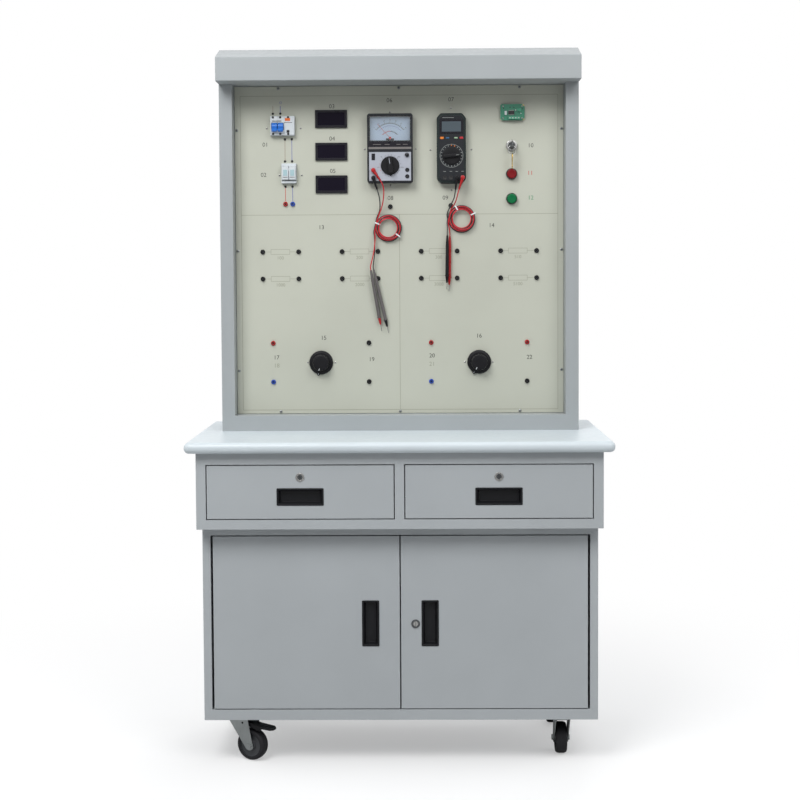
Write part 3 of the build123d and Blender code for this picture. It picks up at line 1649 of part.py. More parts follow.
def build_leads():
    """The four test leads: plugs, free stretches, coils and probes."""
    runs = {"red": [], "black": []}
    ends = {"red": [], "black": []}
    coils = []
    for name, lead in leads.items():
        plug, outlet, along = build_plug(lead)
        knots = coil_knots(
            lead["coil"], lead["outer"], lead["inner"], lead["entry_y"], lead["exit_y"], lead["start_turn"]
        )
        coil, coil_length = build_coil(f"{name} coil", knots)
        first, first_heading, _ = knots[0]
        last, last_heading, _ = knots[-1]
        before = first - first_heading * 12
        after = last + last_heading * 9
        start, tip = above(lead["probe"]), above(lead["tip"])
        lead_in = outlet + along * 10
        into_probe = start - (tip - start).normalized() * 8
        upper, upper_length = build_run(
            f"{name} upper", [outlet, lead_in, *[above(p) for p in lead["upper"]], before, first]
        )
        lower, lower_length = build_run(
            f"{name} lower", [last, after, *[above(p) for p in lead["lower"]], into_probe, start]
        )
        total = coil_length + upper_length + lower_length
        print(f"{name}: whole lead {total:.0f} between plug and probe")
        coils.append(coil)
        runs[lead["colour"]] += [upper, lower]
        ends[lead["colour"]] += [plug, build_probe(start, tip)]
    save("lead_coils", *coils)
    for colour in ("red", "black"):
        save(f"lead_runs_{colour}", *runs[colour])
        save(f"lead_ends_{colour}", *ends[colour])


build_worktop()
build_base_cabinet()
build_shelf()
build_doors()
build_drawer_case()
build_drawer(-1, "left")
build_drawer(1, "right")
build_casters()
build_upper_frame()
build_hood()
build_back_cover()
build_panel()
build_screws()
build_jacks()
windows = build_panel_meters()
windows.append(build_analog_meter())
windows.append(build_digital_meter())
save("instrument_windows", *windows)
build_breaker()
build_fuse_holder()
build_circuit_module()
build_switches()
build_keys()
build_regulator(-1, left_knob_turn, "left")
build_regulator(1, right_knob_turn, "right")
build_transformers()
build_leads()
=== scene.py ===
import json
import math

import bmesh
import bpy
from mathutils import Matrix, Vector

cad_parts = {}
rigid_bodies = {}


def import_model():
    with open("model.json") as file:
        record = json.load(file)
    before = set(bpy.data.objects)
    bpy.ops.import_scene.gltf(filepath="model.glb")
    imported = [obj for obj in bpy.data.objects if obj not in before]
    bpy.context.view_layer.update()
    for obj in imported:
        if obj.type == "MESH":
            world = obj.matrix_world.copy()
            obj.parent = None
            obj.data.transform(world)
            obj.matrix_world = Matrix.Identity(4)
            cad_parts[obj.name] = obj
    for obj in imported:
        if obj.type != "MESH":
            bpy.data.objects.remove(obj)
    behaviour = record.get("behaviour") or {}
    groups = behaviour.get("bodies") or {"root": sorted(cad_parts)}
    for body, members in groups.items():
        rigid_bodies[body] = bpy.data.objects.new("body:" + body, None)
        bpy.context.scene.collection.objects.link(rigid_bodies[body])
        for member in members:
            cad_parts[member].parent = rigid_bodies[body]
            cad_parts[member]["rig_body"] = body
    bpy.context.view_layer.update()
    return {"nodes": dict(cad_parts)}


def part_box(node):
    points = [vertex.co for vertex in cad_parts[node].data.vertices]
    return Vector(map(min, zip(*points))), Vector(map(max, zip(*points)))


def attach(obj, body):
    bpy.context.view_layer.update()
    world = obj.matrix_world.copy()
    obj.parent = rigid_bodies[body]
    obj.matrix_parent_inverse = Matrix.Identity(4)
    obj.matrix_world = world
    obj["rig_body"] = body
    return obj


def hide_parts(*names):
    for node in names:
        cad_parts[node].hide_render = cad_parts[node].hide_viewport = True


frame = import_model()
print("frame loaded:", len(frame["nodes"]), "nodes")

scene = bpy.context.scene
scene.view_settings.view_transform = "Standard"


# Places read from the frame

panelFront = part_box("instrument_panel")[0].y
analogLow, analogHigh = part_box("analog_case")
digitalLow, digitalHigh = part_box("dmm_case")


# Camera, floor and light

cameraLook = {
    "place": (0.04381, -3.51895, 1.17055),
    "yaw": 0.01233, "pitch": -0.04683, "roll": 0.00557,  # radians
    "focal": 1424.0, "centreRow": 340.0, "imageSide": 800,  # pixels
    "sensor": 36,
}


def makeCamera():
    look = cameraLook
    data = bpy.data.cameras.new("photoCamera")
    data.sensor_fit = "HORIZONTAL"
    data.sensor_width = look["sensor"]
    data.lens = look["sensor"] * look["focal"] / look["imageSide"]
    data.shift_y = (look["centreRow"] - look["imageSide"] / 2) / look["imageSide"]
    data.clip_end = 60
    forward = Vector((
        -math.sin(look["yaw"]) * math.cos(look["pitch"]),
        math.cos(look["yaw"]) * math.cos(look["pitch"]),
        math.sin(look["pitch"]),
    ))
    right = Vector((math.cos(look["yaw"]), math.sin(look["yaw"]), 0))
    up = right.cross(forward)
    tilt = Matrix.Rotation(look["roll"], 3, forward)
    turn = Matrix((tilt @ right, tilt @ up, -forward)).transposed().to_4x4()
    camera = bpy.data.objects.new("photoCamera", data)
    camera.matrix_world = Matrix.Translation(look["place"]) @ turn
    scene.collection.objects.link(camera)
    scene.camera = camera


lightLook = {
    "key": {"place": (-1.4, -2.55, 3.7), "aim": (0, 0, 0.9), "size": 1.8, "power": 108},
    "fill": {"place": (1.8, -2.75, 3.4), "aim": (0, 0, 0.8), "size": 2.0, "power": 52},
    "over": {"place": (0.0, -0.7, 4.4), "aim": (0, -0.1, 0.6), "size": 2.0, "power": 21},
    "behind": {"place": (0.8, 3.4, 2.6), "aim": (0, 0, 1.0), "size": 2.4, "power": 64},
    "left": {"place": (-3.2, 0.5, 1.8), "aim": (0, 0.05, 0.9), "size": 2.0, "power": 28},
    "right": {"place": (3.2, 0.5, 1.8), "aim": (0, 0.05, 0.9), "size": 2.0, "power": 28},
    "roomLow": 0.06, "roomHigh": 0.3,
}


def makeLights():
    for name in ("key", "fill", "over", "behind", "left", "right"):
        look = lightLook[name]
        data = bpy.data.lights.new(name + "Lamp", "AREA")
        data.shape = "SQUARE"
        data.size = look["size"]
        data.energy = look["power"]
        lamp = bpy.data.objects.new(name + "Lamp", data)
        lamp.visible_glossy = name in ("key", "fill", "over")  # the rest would show as streaks on the hood
        aim = (Vector(look["aim"]) - Vector(look["place"])).to_track_quat("-Z", "Y")
        lamp.matrix_world = Matrix.Translation(look["place"]) @ aim.to_matrix().to_4x4()
        scene.collection.objects.link(lamp)


def newNode(nodes, kind, values=None, operation=None):
    # a shader node with the values of its sockets
    node = nodes.new("ShaderNode" + kind)
    if operation:
        node.operation = operation
    for socket, value in (values or {}).items():
        node.inputs[socket].default_value = value
    return node


def linkAll(links, pairs):
    for source, target in pairs:
        links.new(source, target)


roomLook = {"tone": (0.93, 0.96, 1.0, 1), "white": (1, 1, 1, 1), "fromUp": -0.1, "toUp": 0.7}


def makeWorld():
    # dim below and paler above for the object, white for the camera and in mirrored and refracted rays
    look = roomLook
    world = bpy.data.worlds.new("room")
    world.use_nodes = True
    nodes, links = world.node_tree.nodes, world.node_tree.links
    nodes.clear()
    place = newNode(nodes, "TexCoord")
    apart = newNode(nodes, "SeparateXYZ")
    level = newNode(nodes, "MapRange", {
        "From Min": look["fromUp"], "From Max": look["toUp"],
        "To Min": lightLook["roomLow"], "To Max": lightLook["roomHigh"],
    })
    room = newNode(nodes, "Background", {"Color": look["tone"]})
    white = newNode(nodes, "Background", {"Color": look["white"], "Strength": 1.0})
    path = newNode(nodes, "LightPath")
    seen = newNode(nodes, "Math", operation="MAXIMUM")
    mirrored = newNode(nodes, "Math", operation="MAXIMUM")
    mix = newNode(nodes, "MixShader")
    out = newNode(nodes, "OutputWorld")
    linkAll(links, (
        (place.outputs["Generated"], apart.inputs[0]), (apart.outputs["Z"], level.inputs["Value"]),
        (level.outputs["Result"], room.inputs["Strength"]), (path.outputs["Is Camera Ray"], seen.inputs[0]),
        (path.outputs["Is Transmission Ray"], seen.inputs[1]), (seen.outputs[0], mirrored.inputs[0]),
        (path.outputs["Is Glossy Ray"], mirrored.inputs[1]), (mirrored.outputs[0], mix.inputs[0]),
        (room.outputs[0], mix.inputs[1]), (white.outputs[0], mix.inputs[2]), (mix.outputs[0], out.inputs[0]),
    ))
    scene.world = world


floorLook = {"side": 60.0, "seenTone": 0.9, "bounceTone": 0.55,
             "nearest": 0.5, "farthest": 1.9, "shade": 0.62}


def makeFloor():
    # white to the camera, with the lamps' shadow kept near the cabinet
    look = floorLook
    bm = bmesh.new()
    bmesh.ops.create_grid(bm, x_segments=1, y_segments=1, size=look["side"] / 2)
    mesh = bpy.data.meshes.new("studioFloor")
    bm.to_mesh(mesh)
    bm.free()
    floor = bpy.data.objects.new("studioFloor", mesh)
    scene.collection.objects.link(floor)
    material = bpy.data.materials.new("studioFloor")
    material.use_nodes = True
    nodes, links = material.node_tree.nodes, material.node_tree.links
    nodes.clear()
    diffuse = newNode(nodes, "BsdfDiffuse")
    tone = nodes.new("ShaderNodeMix")
    tone.data_type = "RGBA"
    tone.inputs["A"].default_value = (look["bounceTone"],) * 3 + (1,)
    tone.inputs["B"].default_value = (look["seenTone"],) * 3 + (1,)
    white = newNode(nodes, "Emission", {"Color": roomLook["white"]})
    place = newNode(nodes, "TexCoord")
    reach = newNode(nodes, "VectorMath", operation="LENGTH")
    fade = nodes.new("ShaderNodeMapRange")
    fade.interpolation_type = "SMOOTHSTEP"
    fade.inputs["From Min"].default_value = look["nearest"]
    fade.inputs["From Max"].default_value = look["farthest"]
    fade.inputs["To Min"].default_value = 1 - look["shade"]
    fade.inputs["To Max"].default_value = 1.0
    path = newNode(nodes, "LightPath")
    seen = newNode(nodes, "Math", operation="MULTIPLY")
    mix = newNode(nodes, "MixShader")
    out = newNode(nodes, "OutputMaterial")
    linkAll(links, (
        (path.outputs["Is Camera Ray"], tone.inputs["Factor"]),
        (tone.outputs["Result"], diffuse.inputs["Color"]),
        (place.outputs["Object"], reach.inputs[0]), (reach.outputs["Value"], fade.inputs["Value"]),
        (fade.outputs["Result"], seen.inputs[0]), (path.outputs["Is Camera Ray"], seen.inputs[1]),
        (seen.outputs[0], mix.inputs[0]), (diffuse.outputs[0], mix.inputs[1]),
        (white.outputs[0], mix.inputs[2]), (mix.outputs[0], out.inputs[0]),
    ))
    mesh.materials.append(material)


makeCamera()
makeLights()
makeWorld()
makeFloor()
print("camera, lamps and floor made")


# Effects that materials share


def newGroup(name, inputs, outputs):
    group = bpy.data.node_groups.new(name, "ShaderNodeTree")
    for label, kind, value in inputs:
        socket = group.interface.new_socket(name=label, in_out="INPUT", socket_type=kind)
        socket.default_value = value
    for label, kind in outputs:
        group.interface.new_socket(name=label, in_out="OUTPUT", socket_type=kind)
    return group, group.nodes.new("NodeGroupInput"), group.nodes.new("NodeGroupOutput")


def objectNoise(group, scaleSocket, detail, stretch=None):
    nodes, links = group.nodes, group.links
    place = nodes.new("ShaderNodeTexCoord")
    noise = nodes.new("ShaderNodeTexNoise")
    noise.inputs["Detail"].default_value = detail
    source = place.outputs["Object"]
    if stretch:
        mapping = nodes.new("ShaderNodeMapping")
        mapping.inputs["Scale"].default_value = stretch
        links.new(source, mapping.inputs["Vector"])
        source = mapping.outputs["Vector"]
    links.new(source, noise.inputs["Vector"])
    if isinstance(scaleSocket, (int, float)):
        noise.inputs["Scale"].default_value = scaleSocket
    else:
        links.new(scaleSocket, noise.inputs["Scale"])
    return noise.outputs["Fac"]


def mapped(group, source, low, high, fromLow=0.3, fromHigh=0.7):
    node = group.nodes.new("ShaderNodeMapRange")
    group.links.new(source, node.inputs["Value"])
    node.inputs["From Min"].default_value = fromLow
    node.inputs["From Max"].default_value = fromHigh
    for socket, value in (("To Min", low), ("To Max", high)):
        if isinstance(value, (int, float)):
            node.inputs[socket].default_value = value
        else:
            group.links.new(value, node.inputs[socket])
    return node.outputs["Result"]


floatKind, colourKind = "NodeSocketFloat", "NodeSocketColor"


def driftTone(group, given, made, source):
    # the given colour, its brightness drifting between the darkest and the lightest
    tone = newNode(group.nodes, "HueSaturation")
    value = mapped(group, source, given.outputs["Darkest"], given.outputs["Lightest"])
    group.links.new(value, tone.inputs["Value"])
    group.links.new(given.outputs["Colour"], tone.inputs["Color"])
    group.links.new(tone.outputs["Color"], made.inputs["Colour"])


def makeSurfaceSkin():
    # slow drift of tone and gloss over a fine grain, for paint, board, rubber and moulded parts
    group, given, made = newGroup(
        "surfaceSkin",
        [
            ("Colour", colourKind, (0.5, 0.5, 0.5, 1)),
            ("Darkest", floatKind, 0.96), ("Lightest", floatKind, 1.03),
            ("Drift Scale", floatKind, 4.0), ("Gloss Scale", floatKind, 60.0), ("Rough Low", floatKind, 0.4),
            ("Rough High", floatKind, 0.5), ("Grain Scale", floatKind, 900.0),
        ],
        [("Colour", colourKind), ("Roughness", floatKind), ("Height", floatKind)],
    )
    driftTone(group, given, made, objectNoise(group, given.outputs["Drift Scale"], 3))
    gloss = objectNoise(group, given.outputs["Gloss Scale"], 4)
    rough = mapped(group, gloss, given.outputs["Rough Low"], given.outputs["Rough High"])
    group.links.new(rough, made.inputs["Roughness"])
    grain = objectNoise(group, given.outputs["Grain Scale"], 2)
    group.links.new(grain, made.inputs["Height"])
    return group


brushedLook = {"stretch": (1, 1, 0.06), "cloud": 35.0}


def makeBrushedSkin():
    # short scratches along one direction, for plated and turned metal
    group, given, made = newGroup(
        "brushedSkin",
        [
            ("Colour", colourKind, (0.6, 0.6, 0.6, 1)),
            ("Darkest", floatKind, 0.9), ("Lightest", floatKind, 1.05), ("Rough Low", floatKind, 0.2),
            ("Rough High", floatKind, 0.35), ("Scratch Scale", floatKind, 500.0),
        ],
        [("Colour", colourKind), ("Roughness", floatKind), ("Height", floatKind)],
    )
    scratch = objectNoise(group, given.outputs["Scratch Scale"], 3, stretch=brushedLook["stretch"])
    driftTone(group, given, made, objectNoise(group, brushedLook["cloud"], 4))
    rough = mapped(group, scratch, given.outputs["Rough Low"], given.outputs["Rough High"])
    group.links.new(rough, made.inputs["Roughness"])
    group.links.new(scratch, made.inputs["Height"])
    return group


def makeEdgeWear():
    # where an edge was rounded, broken up so that only some of it is rubbed
    group, given, made = newGroup(
        "edgeWear", [("Amount", floatKind, 0.3), ("Break Scale", floatKind, 90.0)], [("Mask", floatKind)]
    )
    edge = group.nodes.new("ShaderNodeAttribute")
    edge.attribute_name = "edge"
    broken = mapped(group, objectNoise(group, given.outputs["Break Scale"], 4), 0.0, 1.0, 0.42, 0.66)
    first = newNode(group.nodes, "Math", operation="MULTIPLY")
    group.links.new(edge.outputs["Fac"], first.inputs[0])
    group.links.new(broken, first.inputs[1])
    second = newNode(group.nodes, "Math", operation="MULTIPLY")
    group.links.new(first.outputs[0], second.inputs[0])
    group.links.new(given.outputs["Amount"], second.inputs[1])
    group.links.new(second.outputs[0], made.inputs["Mask"])
    return group


surfaceSkin = makeSurfaceSkin()
brushedSkin = makeBrushedSkin()
edgeWear = makeEdgeWear()


def tint(red, green, blue):
    # a colour as a screen shows it, 0 to 255, made linear
    shares = [value / 255 for value in (red, green, blue)]
    return tuple(c / 12.92 if c <= 0.04045 else ((c + 0.055) / 1.055) ** 2.4 for c in shares) + (1,)


# Every finish: colour on screen, roughness from and to, grain, bump, worn edges, and its shine if set

plainShine, lowShine = 0.5, 0.22
finishKeys = ("colour", "rough", "grain", "bump", "wear", "shine")
finishRows = {
    "greySteel": ((170, 175, 178), (0.36, 0.48), 700, 0.1, 0.35),
    "doorSteel": ((169, 174, 177), (0.36, 0.48), 700, 0.1, 0.35),
    "housingSteel": ((161, 166, 168), (0.34, 0.46), 700, 0.1, 0.35),
    "worktopBoard": ((202, 211, 216), (0.3, 0.42), 1500, 0.06, 0.15),
    "panelSheet": ((188, 190, 177), (0.42, 0.54), 1100, 0.05, 0.2),
    "blackPlastic": ((20, 20, 23), (0.3, 0.44), 1800, 0.12, 0.25, lowShine),
    "meterBlack": ((26, 25, 32), (0.26, 0.36), 1800, 0.08, 0.2, lowShine),
    "meterCase": ((34, 36, 40), (0.38, 0.5), 2200, 0.2, 0.3, lowShine),
    "meterPlate": ((168, 172, 182), (0.36, 0.46), 2000, 0.06, 0.1),
    "meterBand": ((116, 112, 110), (0.4, 0.5), 2000, 0.06, 0.1),
    "holster": ((38, 46, 46), (0.5, 0.66), 1400, 0.3, 0.3, lowShine),
    "dialRing": ((138, 142, 140), (0.4, 0.5), 1800, 0.08, 0.1),
    "displayGrey": ((78, 88, 95), (0.3, 0.36), 2500, 0.02, 0.0, lowShine),
    "scaleCard": ((186, 203, 224), (0.5, 0.6), 2500, 0.03, 0.0),
    "redPlastic": ((168, 22, 26), (0.24, 0.34), 1800, 0.06, 0.1),
    "bluePlastic": ((22, 70, 170), (0.26, 0.36), 1800, 0.06, 0.1),
    "greenPlastic": ((4, 102, 58), (0.16, 0.26), 1800, 0.04, 0.1, lowShine),
    "buttonRed": ((120, 17, 23), (0.16, 0.26), 1800, 0.04, 0.1, lowShine),
    "breakerWhite": ((206, 212, 216), (0.4, 0.5), 2000, 0.1, 0.1),
    "fuseWindow": ((164, 192, 198), (0.16, 0.24), 2000, 0.02, 0.1),
    "toggleBlue": ((38, 110, 200), (0.3, 0.4), 2000, 0.06, 0.1),
    "orangePrint": ((222, 108, 44), (0.4, 0.5), 2000, 0.02, 0.0),
    "terminalGreen": ((70, 150, 120), (0.34, 0.44), 1800, 0.05, 0.1),
    "pullBlack": ((22, 23, 26), (0.34, 0.46), 1800, 0.1, 0.15, lowShine),
    "boardGreen": ((58, 130, 104), (0.3, 0.42), 1500, 0.08, 0.1),
    "redWire": ((190, 30, 44), (0.26, 0.38), 900, 0.08, 0.0),
    "blackWire": ((44, 46, 48), (0.3, 0.42), 900, 0.08, 0.0),
    "probeGrey": ((92, 88, 88), (0.36, 0.48), 1500, 0.1, 0.1),
    "tieWhite": ((226, 230, 232), (0.4, 0.5), 1500, 0.06, 0.0),
    "wheelRubber": ((34, 34, 37), (0.5, 0.66), 900, 0.25, 0.4, lowShine),
    "hubGrey": ((58, 60, 63), (0.42, 0.54), 1500, 0.15, 0.2),
    "copperWinding": ((128, 70, 42), (0.35, 0.5), 700, 0.5, 0.0),
    # chipBlack is the colour of real black parts and also the painted shade of screw recesses, holes and
    # socket bores
    "chipBlack": ((20, 20, 22), (0.4, 0.52), 2500, 0.08, 0.1),
}
inkColours = {
    "whiteInk": (214, 218, 220), "blackInk": (62, 62, 58), "lineInk": (150, 151, 134),
    "redInk": (190, 60, 56), "greenInk": (66, 138, 96), "blueInk": (84, 92, 168),
    "brownInk": (150, 132, 112),
}
keyColours = {
    "keyOrange": (226, 126, 40), "keyBlue": (52, 92, 128), "keyPale": (150, 176, 146),
    "keyRed": (176, 34, 44),
}
finishRows.update({name: (tone, (0.5, 0.6), 2500, 0.02, 0.0) for name, tone in inkColours.items()})
finishRows.update({name: (tone, (0.4, 0.5), 2000, 0.06, 0.1) for name, tone in keyColours.items()})
finishes = {name: dict(zip(finishKeys, row)) for name, row in finishRows.items()}

metals = {
    "brightSteel": {"colour": (178, 178, 176), "rough": (0.18, 0.34), "scratch": 700, "bump": 0.05},
    "zincSteel": {"colour": (150, 154, 154), "rough": (0.3, 0.5), "scratch": 300, "bump": 0.1},
    "darkSteel": {"colour": (96, 98, 100), "rough": (0.3, 0.46), "scratch": 400, "bump": 0.08},
    "brass": {"colour": (196, 164, 92), "rough": (0.2, 0.36), "scratch": 700, "bump": 0.06},
}

grainDepth = 0.0004
wornLift, wornAdd = 1.35, 0.02


def newMaterial(name, group, look, rough, values):
    # a material that takes its colour and roughness from one of the skins
    material = bpy.data.materials.new(name)
    material.use_nodes = True
    nodes, links = material.node_tree.nodes, material.node_tree.links
    shader = nodes["Principled BSDF"]
    skin = nodes.new("ShaderNodeGroup")
    skin.node_tree = group
    skin.inputs["Colour"].default_value = tint(*look["colour"])
    skin.inputs["Rough Low"].default_value, skin.inputs["Rough High"].default_value = rough
    for socket, value in values.items():
        skin.inputs[socket].default_value = value
    links.new(skin.outputs["Roughness"], shader.inputs["Roughness"])
    return material, nodes, links, shader, skin


def addBump(nodes, links, shader, height, strength):
    bump = newNode(nodes, "Bump", {"Strength": strength, "Distance": grainDepth})
    links.new(height, bump.inputs["Height"])
    links.new(bump.outputs["Normal"], shader.inputs["Normal"])


def makeFinish(name):
    look = finishes[name]
    values = {"Grain Scale": look["grain"]}
    material, nodes, links, shader, skin = newMaterial(name, surfaceSkin, look, look["rough"], values)
    addBump(nodes, links, shader, skin.outputs["Height"], look["bump"])
    shader.inputs["Specular IOR Level"].default_value = look.get("shine", plainShine)
    if look["wear"]:
        worn = nodes.new("ShaderNodeGroup")
        worn.node_tree = edgeWear
        worn.inputs["Amount"].default_value = look["wear"]
        mix = nodes.new("ShaderNodeMix")
        mix.data_type = "RGBA"
        links.new(worn.outputs["Mask"], mix.inputs["Factor"])
        links.new(skin.outputs["Colour"], mix.inputs["A"])
        base = tint(*look["colour"])[:3]
        mix.inputs["B"].default_value = tuple(min(1, share * wornLift + wornAdd) for share in base) + (1,)
        links.new(mix.outputs["Result"], shader.inputs["Base Color"])
    else:
        links.new(skin.outputs["Colour"], shader.inputs["Base Color"])
    return material


def makeMetal(name):
    look = metals[name]
    values = {"Scratch Scale": look["scratch"]}
    material, nodes, links, shader, skin = newMaterial(name, brushedSkin, look, look["rough"], values)
    shader.inputs["Metallic"].default_value = 1.0
    links.new(skin.outputs["Colour"], shader.inputs["Base Color"])
    addBump(nodes, links, shader, skin.outputs["Height"], look["bump"])
    return material


glassLook = {
    "clearLens": {"colour": (250, 252, 252), "rough": 0.03, "ior": 1.49, "through": 1.0, "shine": plainShine},
    "meterWindow": {"colour": (22, 18, 31), "rough": 0.06, "ior": 1.52, "through": 0.0, "shine": 0.06},
}
glassSpread = 1.6


def makeGlass(name):
    look = glassLook[name]
    rough = (look["rough"], look["rough"] * glassSpread)
    values = {"Darkest": 0.99, "Lightest": 1.0}
    material, nodes, links, shader, skin = newMaterial(name, surfaceSkin, look, rough, values)
    links.new(skin.outputs["Colour"], shader.inputs["Base Color"])
    for socket, key in (("Transmission Weight", "through"), ("IOR", "ior"), ("Specular IOR Level", "shine")):
        shader.inputs[socket].default_value = look[key]
    return material


paints = {name: makeFinish(name) for name in finishes}
paints.update({name: makeMetal(name) for name in metals})
paints.update({name: makeGlass(name) for name in glassLook})
print("materials made:", len(paints))


# Modelling helpers. "Out" is the distance that a thing stands out towards the front.


def lathe(profile, centre, axis=(0, -1, 0), *, steps):
    # turns a profile of (radius, out) pairs about an axis through the centre
    bm = bmesh.new()
    points = [bm.verts.new((radius, 0, out)) for radius, out in profile]
    lines = [bm.edges.new(pair) for pair in zip(points, points[1:])]
    bmesh.ops.spin(
        bm, geom=points + lines, cent=(0, 0, 0), axis=(0, 0, 1), dvec=(0, 0, 0),
        angle=2 * math.pi, steps=steps, use_merge=True, use_duplicate=False,
    )
    bmesh.ops.remove_doubles(bm, verts=bm.verts, dist=1e-6)
    bmesh.ops.recalc_face_normals(bm, faces=bm.faces)
    turn = Vector((0, 0, 1)).rotation_difference(Vector(axis)).to_matrix().to_4x4()
    bmesh.ops.transform(bm, matrix=Matrix.Translation(centre) @ turn, verts=bm.verts)
    return bm


def disc(place, radius, thick, steps, axis=(0, -1, 0)):
    return lathe([(radius, 0), (radius, thick), (0, thick)], place, axis=axis, steps=steps)


def roundEdges(bm, edges, width, segments):
    return bmesh.ops.bevel(
        bm, geom=edges, offset=width, offset_type="OFFSET", segments=segments,
        profile=0.5, affect="EDGES", clamp_overlap=True, material=-1,
    )


def thicken(bm, faces, forward):
    # pulls flat faces along y into a solid
    made = bmesh.ops.extrude_face_region(bm, geom=faces)
    moved = [item for item in made["geom"] if isinstance(item, bmesh.types.BMVert)]
    bmesh.ops.translate(bm, vec=(0, forward, 0), verts=moved)
    bmesh.ops.recalc_face_normals(bm, faces=bm.faces)


def stripAround(bm, outer, inner):
    # the flat faces between two rings of as many corners
    faces = []
    for i in range(len(outer)):
        j = (i + 1) % len(outer)
        faces.append(bm.faces.new((outer[i], outer[j], inner[j], inner[i])))
    return faces


def dissolveFlat(bm):
    bmesh.ops.dissolve_limit(
        bm, angle_limit=math.radians(0.5), use_dissolve_boundaries=False,
        verts=bm.verts[:], edges=bm.edges[:], delimit={"NORMAL"},
    )


def hardEdges(bm, degrees=50):
    return [e for e in bm.edges if len(e.link_faces) == 2 and e.calc_face_angle() > math.radians(degrees)]


def block(size, place, turn=0.0, soften=0.0, segments=2):
    # a box about its middle, turned clockwise as seen from the front, its edges rounded
    bm = bmesh.new()
    bmesh.ops.create_cube(bm, size=1)
    bmesh.ops.scale(bm, vec=size, verts=bm.verts)
    if soften:
        roundEdges(bm, bm.edges[:], soften, segments)
    matrix = Matrix.Translation(place) @ Matrix.Rotation(turn, 4, "Y")
    bmesh.ops.transform(bm, matrix=matrix, verts=bm.verts)
    return bm


def mitredRim(wide, tall, rim, deep, place, round):
    # a picture-frame of four mitred bars that faces the front; place is the middle of its back
    bm = bmesh.new()
    rings = []
    for cut in (0, rim):
        a, b = wide / 2 - cut, tall / 2 - cut
        rings.append([bm.verts.new((x, 0, z)) for x, z in ((-a, -b), (a, -b), (a, b), (-a, b))])
    thicken(bm, stripAround(bm, *rings), -deep)
    roundEdges(bm, [e for e in bm.edges if e.calc_face_angle(0) > 1], round, 3)
    bmesh.ops.translate(bm, vec=place, verts=bm.verts)
    return bm


def frontEdges(bm, back, angle):
    # the edges round the front of a slab, and then those from its back to its front
    near = 1e-6
    front = [
        e for e in bm.edges if e.calc_face_angle(0) > angle and max(v.co.y for v in e.verts) < back - near
    ]
    taken = set(front)
    return front + [
        e for e in bm.edges if e.calc_face_angle(0) > 0.3 and e not in taken
        and abs(e.verts[0].co.y - e.verts[1].co.y) > near
    ]


def holedSlab(outer, inner, back, front, round):
    # a slab with a hole; outer and inner list as many corners (x, z), in the same order
    bm = bmesh.new()
    rings = [[bm.verts.new((x, back, z)) for x, z in ring] for ring in (outer, inner)]
    thicken(bm, stripAround(bm, *rings), front - back)
    roundEdges(bm, frontEdges(bm, back, 0.3), round, 3)
    return bm


def slab(outline, back, front, round, segments):
    # an outline of (x, z) corners made solid from back to front, its front edges rounded
    bm = bmesh.new()
    thicken(bm, [bm.faces.new([bm.verts.new((x, back, z)) for x, z in outline])], front - back)
    roundEdges(bm, frontEdges(bm, back, 0.6), round, segments)
    return bm


def clippedBox(x, z, wide, tall, cutAcross, cutUp):
    # the corners of a rectangle with its corners cut off
    a, b = wide / 2, tall / 2
    corners = [(-a + cutAcross, -b), (a - cutAcross, -b), (a, -b + cutUp), (a, b - cutUp),
               (a - cutAcross, b), (-a + cutAcross, b), (-a, b - cutUp), (-a, -b + cutUp)]
    return [(x + along, z + up) for along, up in corners]


def arcStrip(centre, radius, width, fromAngle, toAngle, depth, steps=40):
    # a raised strip on an arc that faces the front; angles are clockwise from straight up
    bm = bmesh.new()
    x, y, z = centre
    inner, outer = radius - width / 2, radius + width / 2
    corners = [(inner, 0), (outer, 0), (outer, -depth), (inner, -depth)]
    face = bm.faces.new([bm.verts.new((x, y + out, z + away)) for away, out in corners])
    bmesh.ops.rotate(bm, cent=centre, matrix=Matrix.Rotation(fromAngle, 3, "Y"), verts=bm.verts)
    bmesh.ops.spin(
        bm, geom=bm.verts[:] + bm.edges[:] + [face], cent=centre, axis=(0, 1, 0), dvec=(0, 0, 0),
        angle=toAngle - fromAngle, steps=steps, use_merge=False, use_duplicate=False,
    )
    bmesh.ops.recalc_face_normals(bm, faces=bm.faces)
    return bm


def put(target, part, paint=0):
    # adds one bmesh to another, with a material number
    mesh = bpy.data.meshes.new("part")
    for face in part.faces:
        face.material_index = paint
    part.to_mesh(mesh)
    part.free()
    target.from_mesh(mesh)
    bpy.data.meshes.remove(mesh)


def addPiece(name, bm, paintNames, body="cabinet", slot=None, stands=(), sharp=38):
    # sharp is the angle, in degrees, from which an edge is shaded sharp
    mesh = bpy.data.meshes.new(name)
    bm.to_mesh(mesh)
    bm.free()
    mesh.shade_smooth()
    mesh.set_sharp_from_angle(angle=math.radians(sharp))
    for paintName in paintNames:
        mesh.materials.append(paints[paintName])
    piece = bpy.data.objects.new(name, mesh)
    scene.collection.objects.link(piece)
    even = piece.modifiers.new("evenNormals", "WEIGHTED_NORMAL")
    even.keep_sharp = True
    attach(piece, body)
    if stands:
        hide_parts(*stands)
    return piece


def mergedNode(node):
    bm = bmesh.new()
    bm.from_mesh(frame["nodes"][node].data)
    bmesh.ops.remove_doubles(bm, verts=bm.verts, dist=4e-6)
    return bm


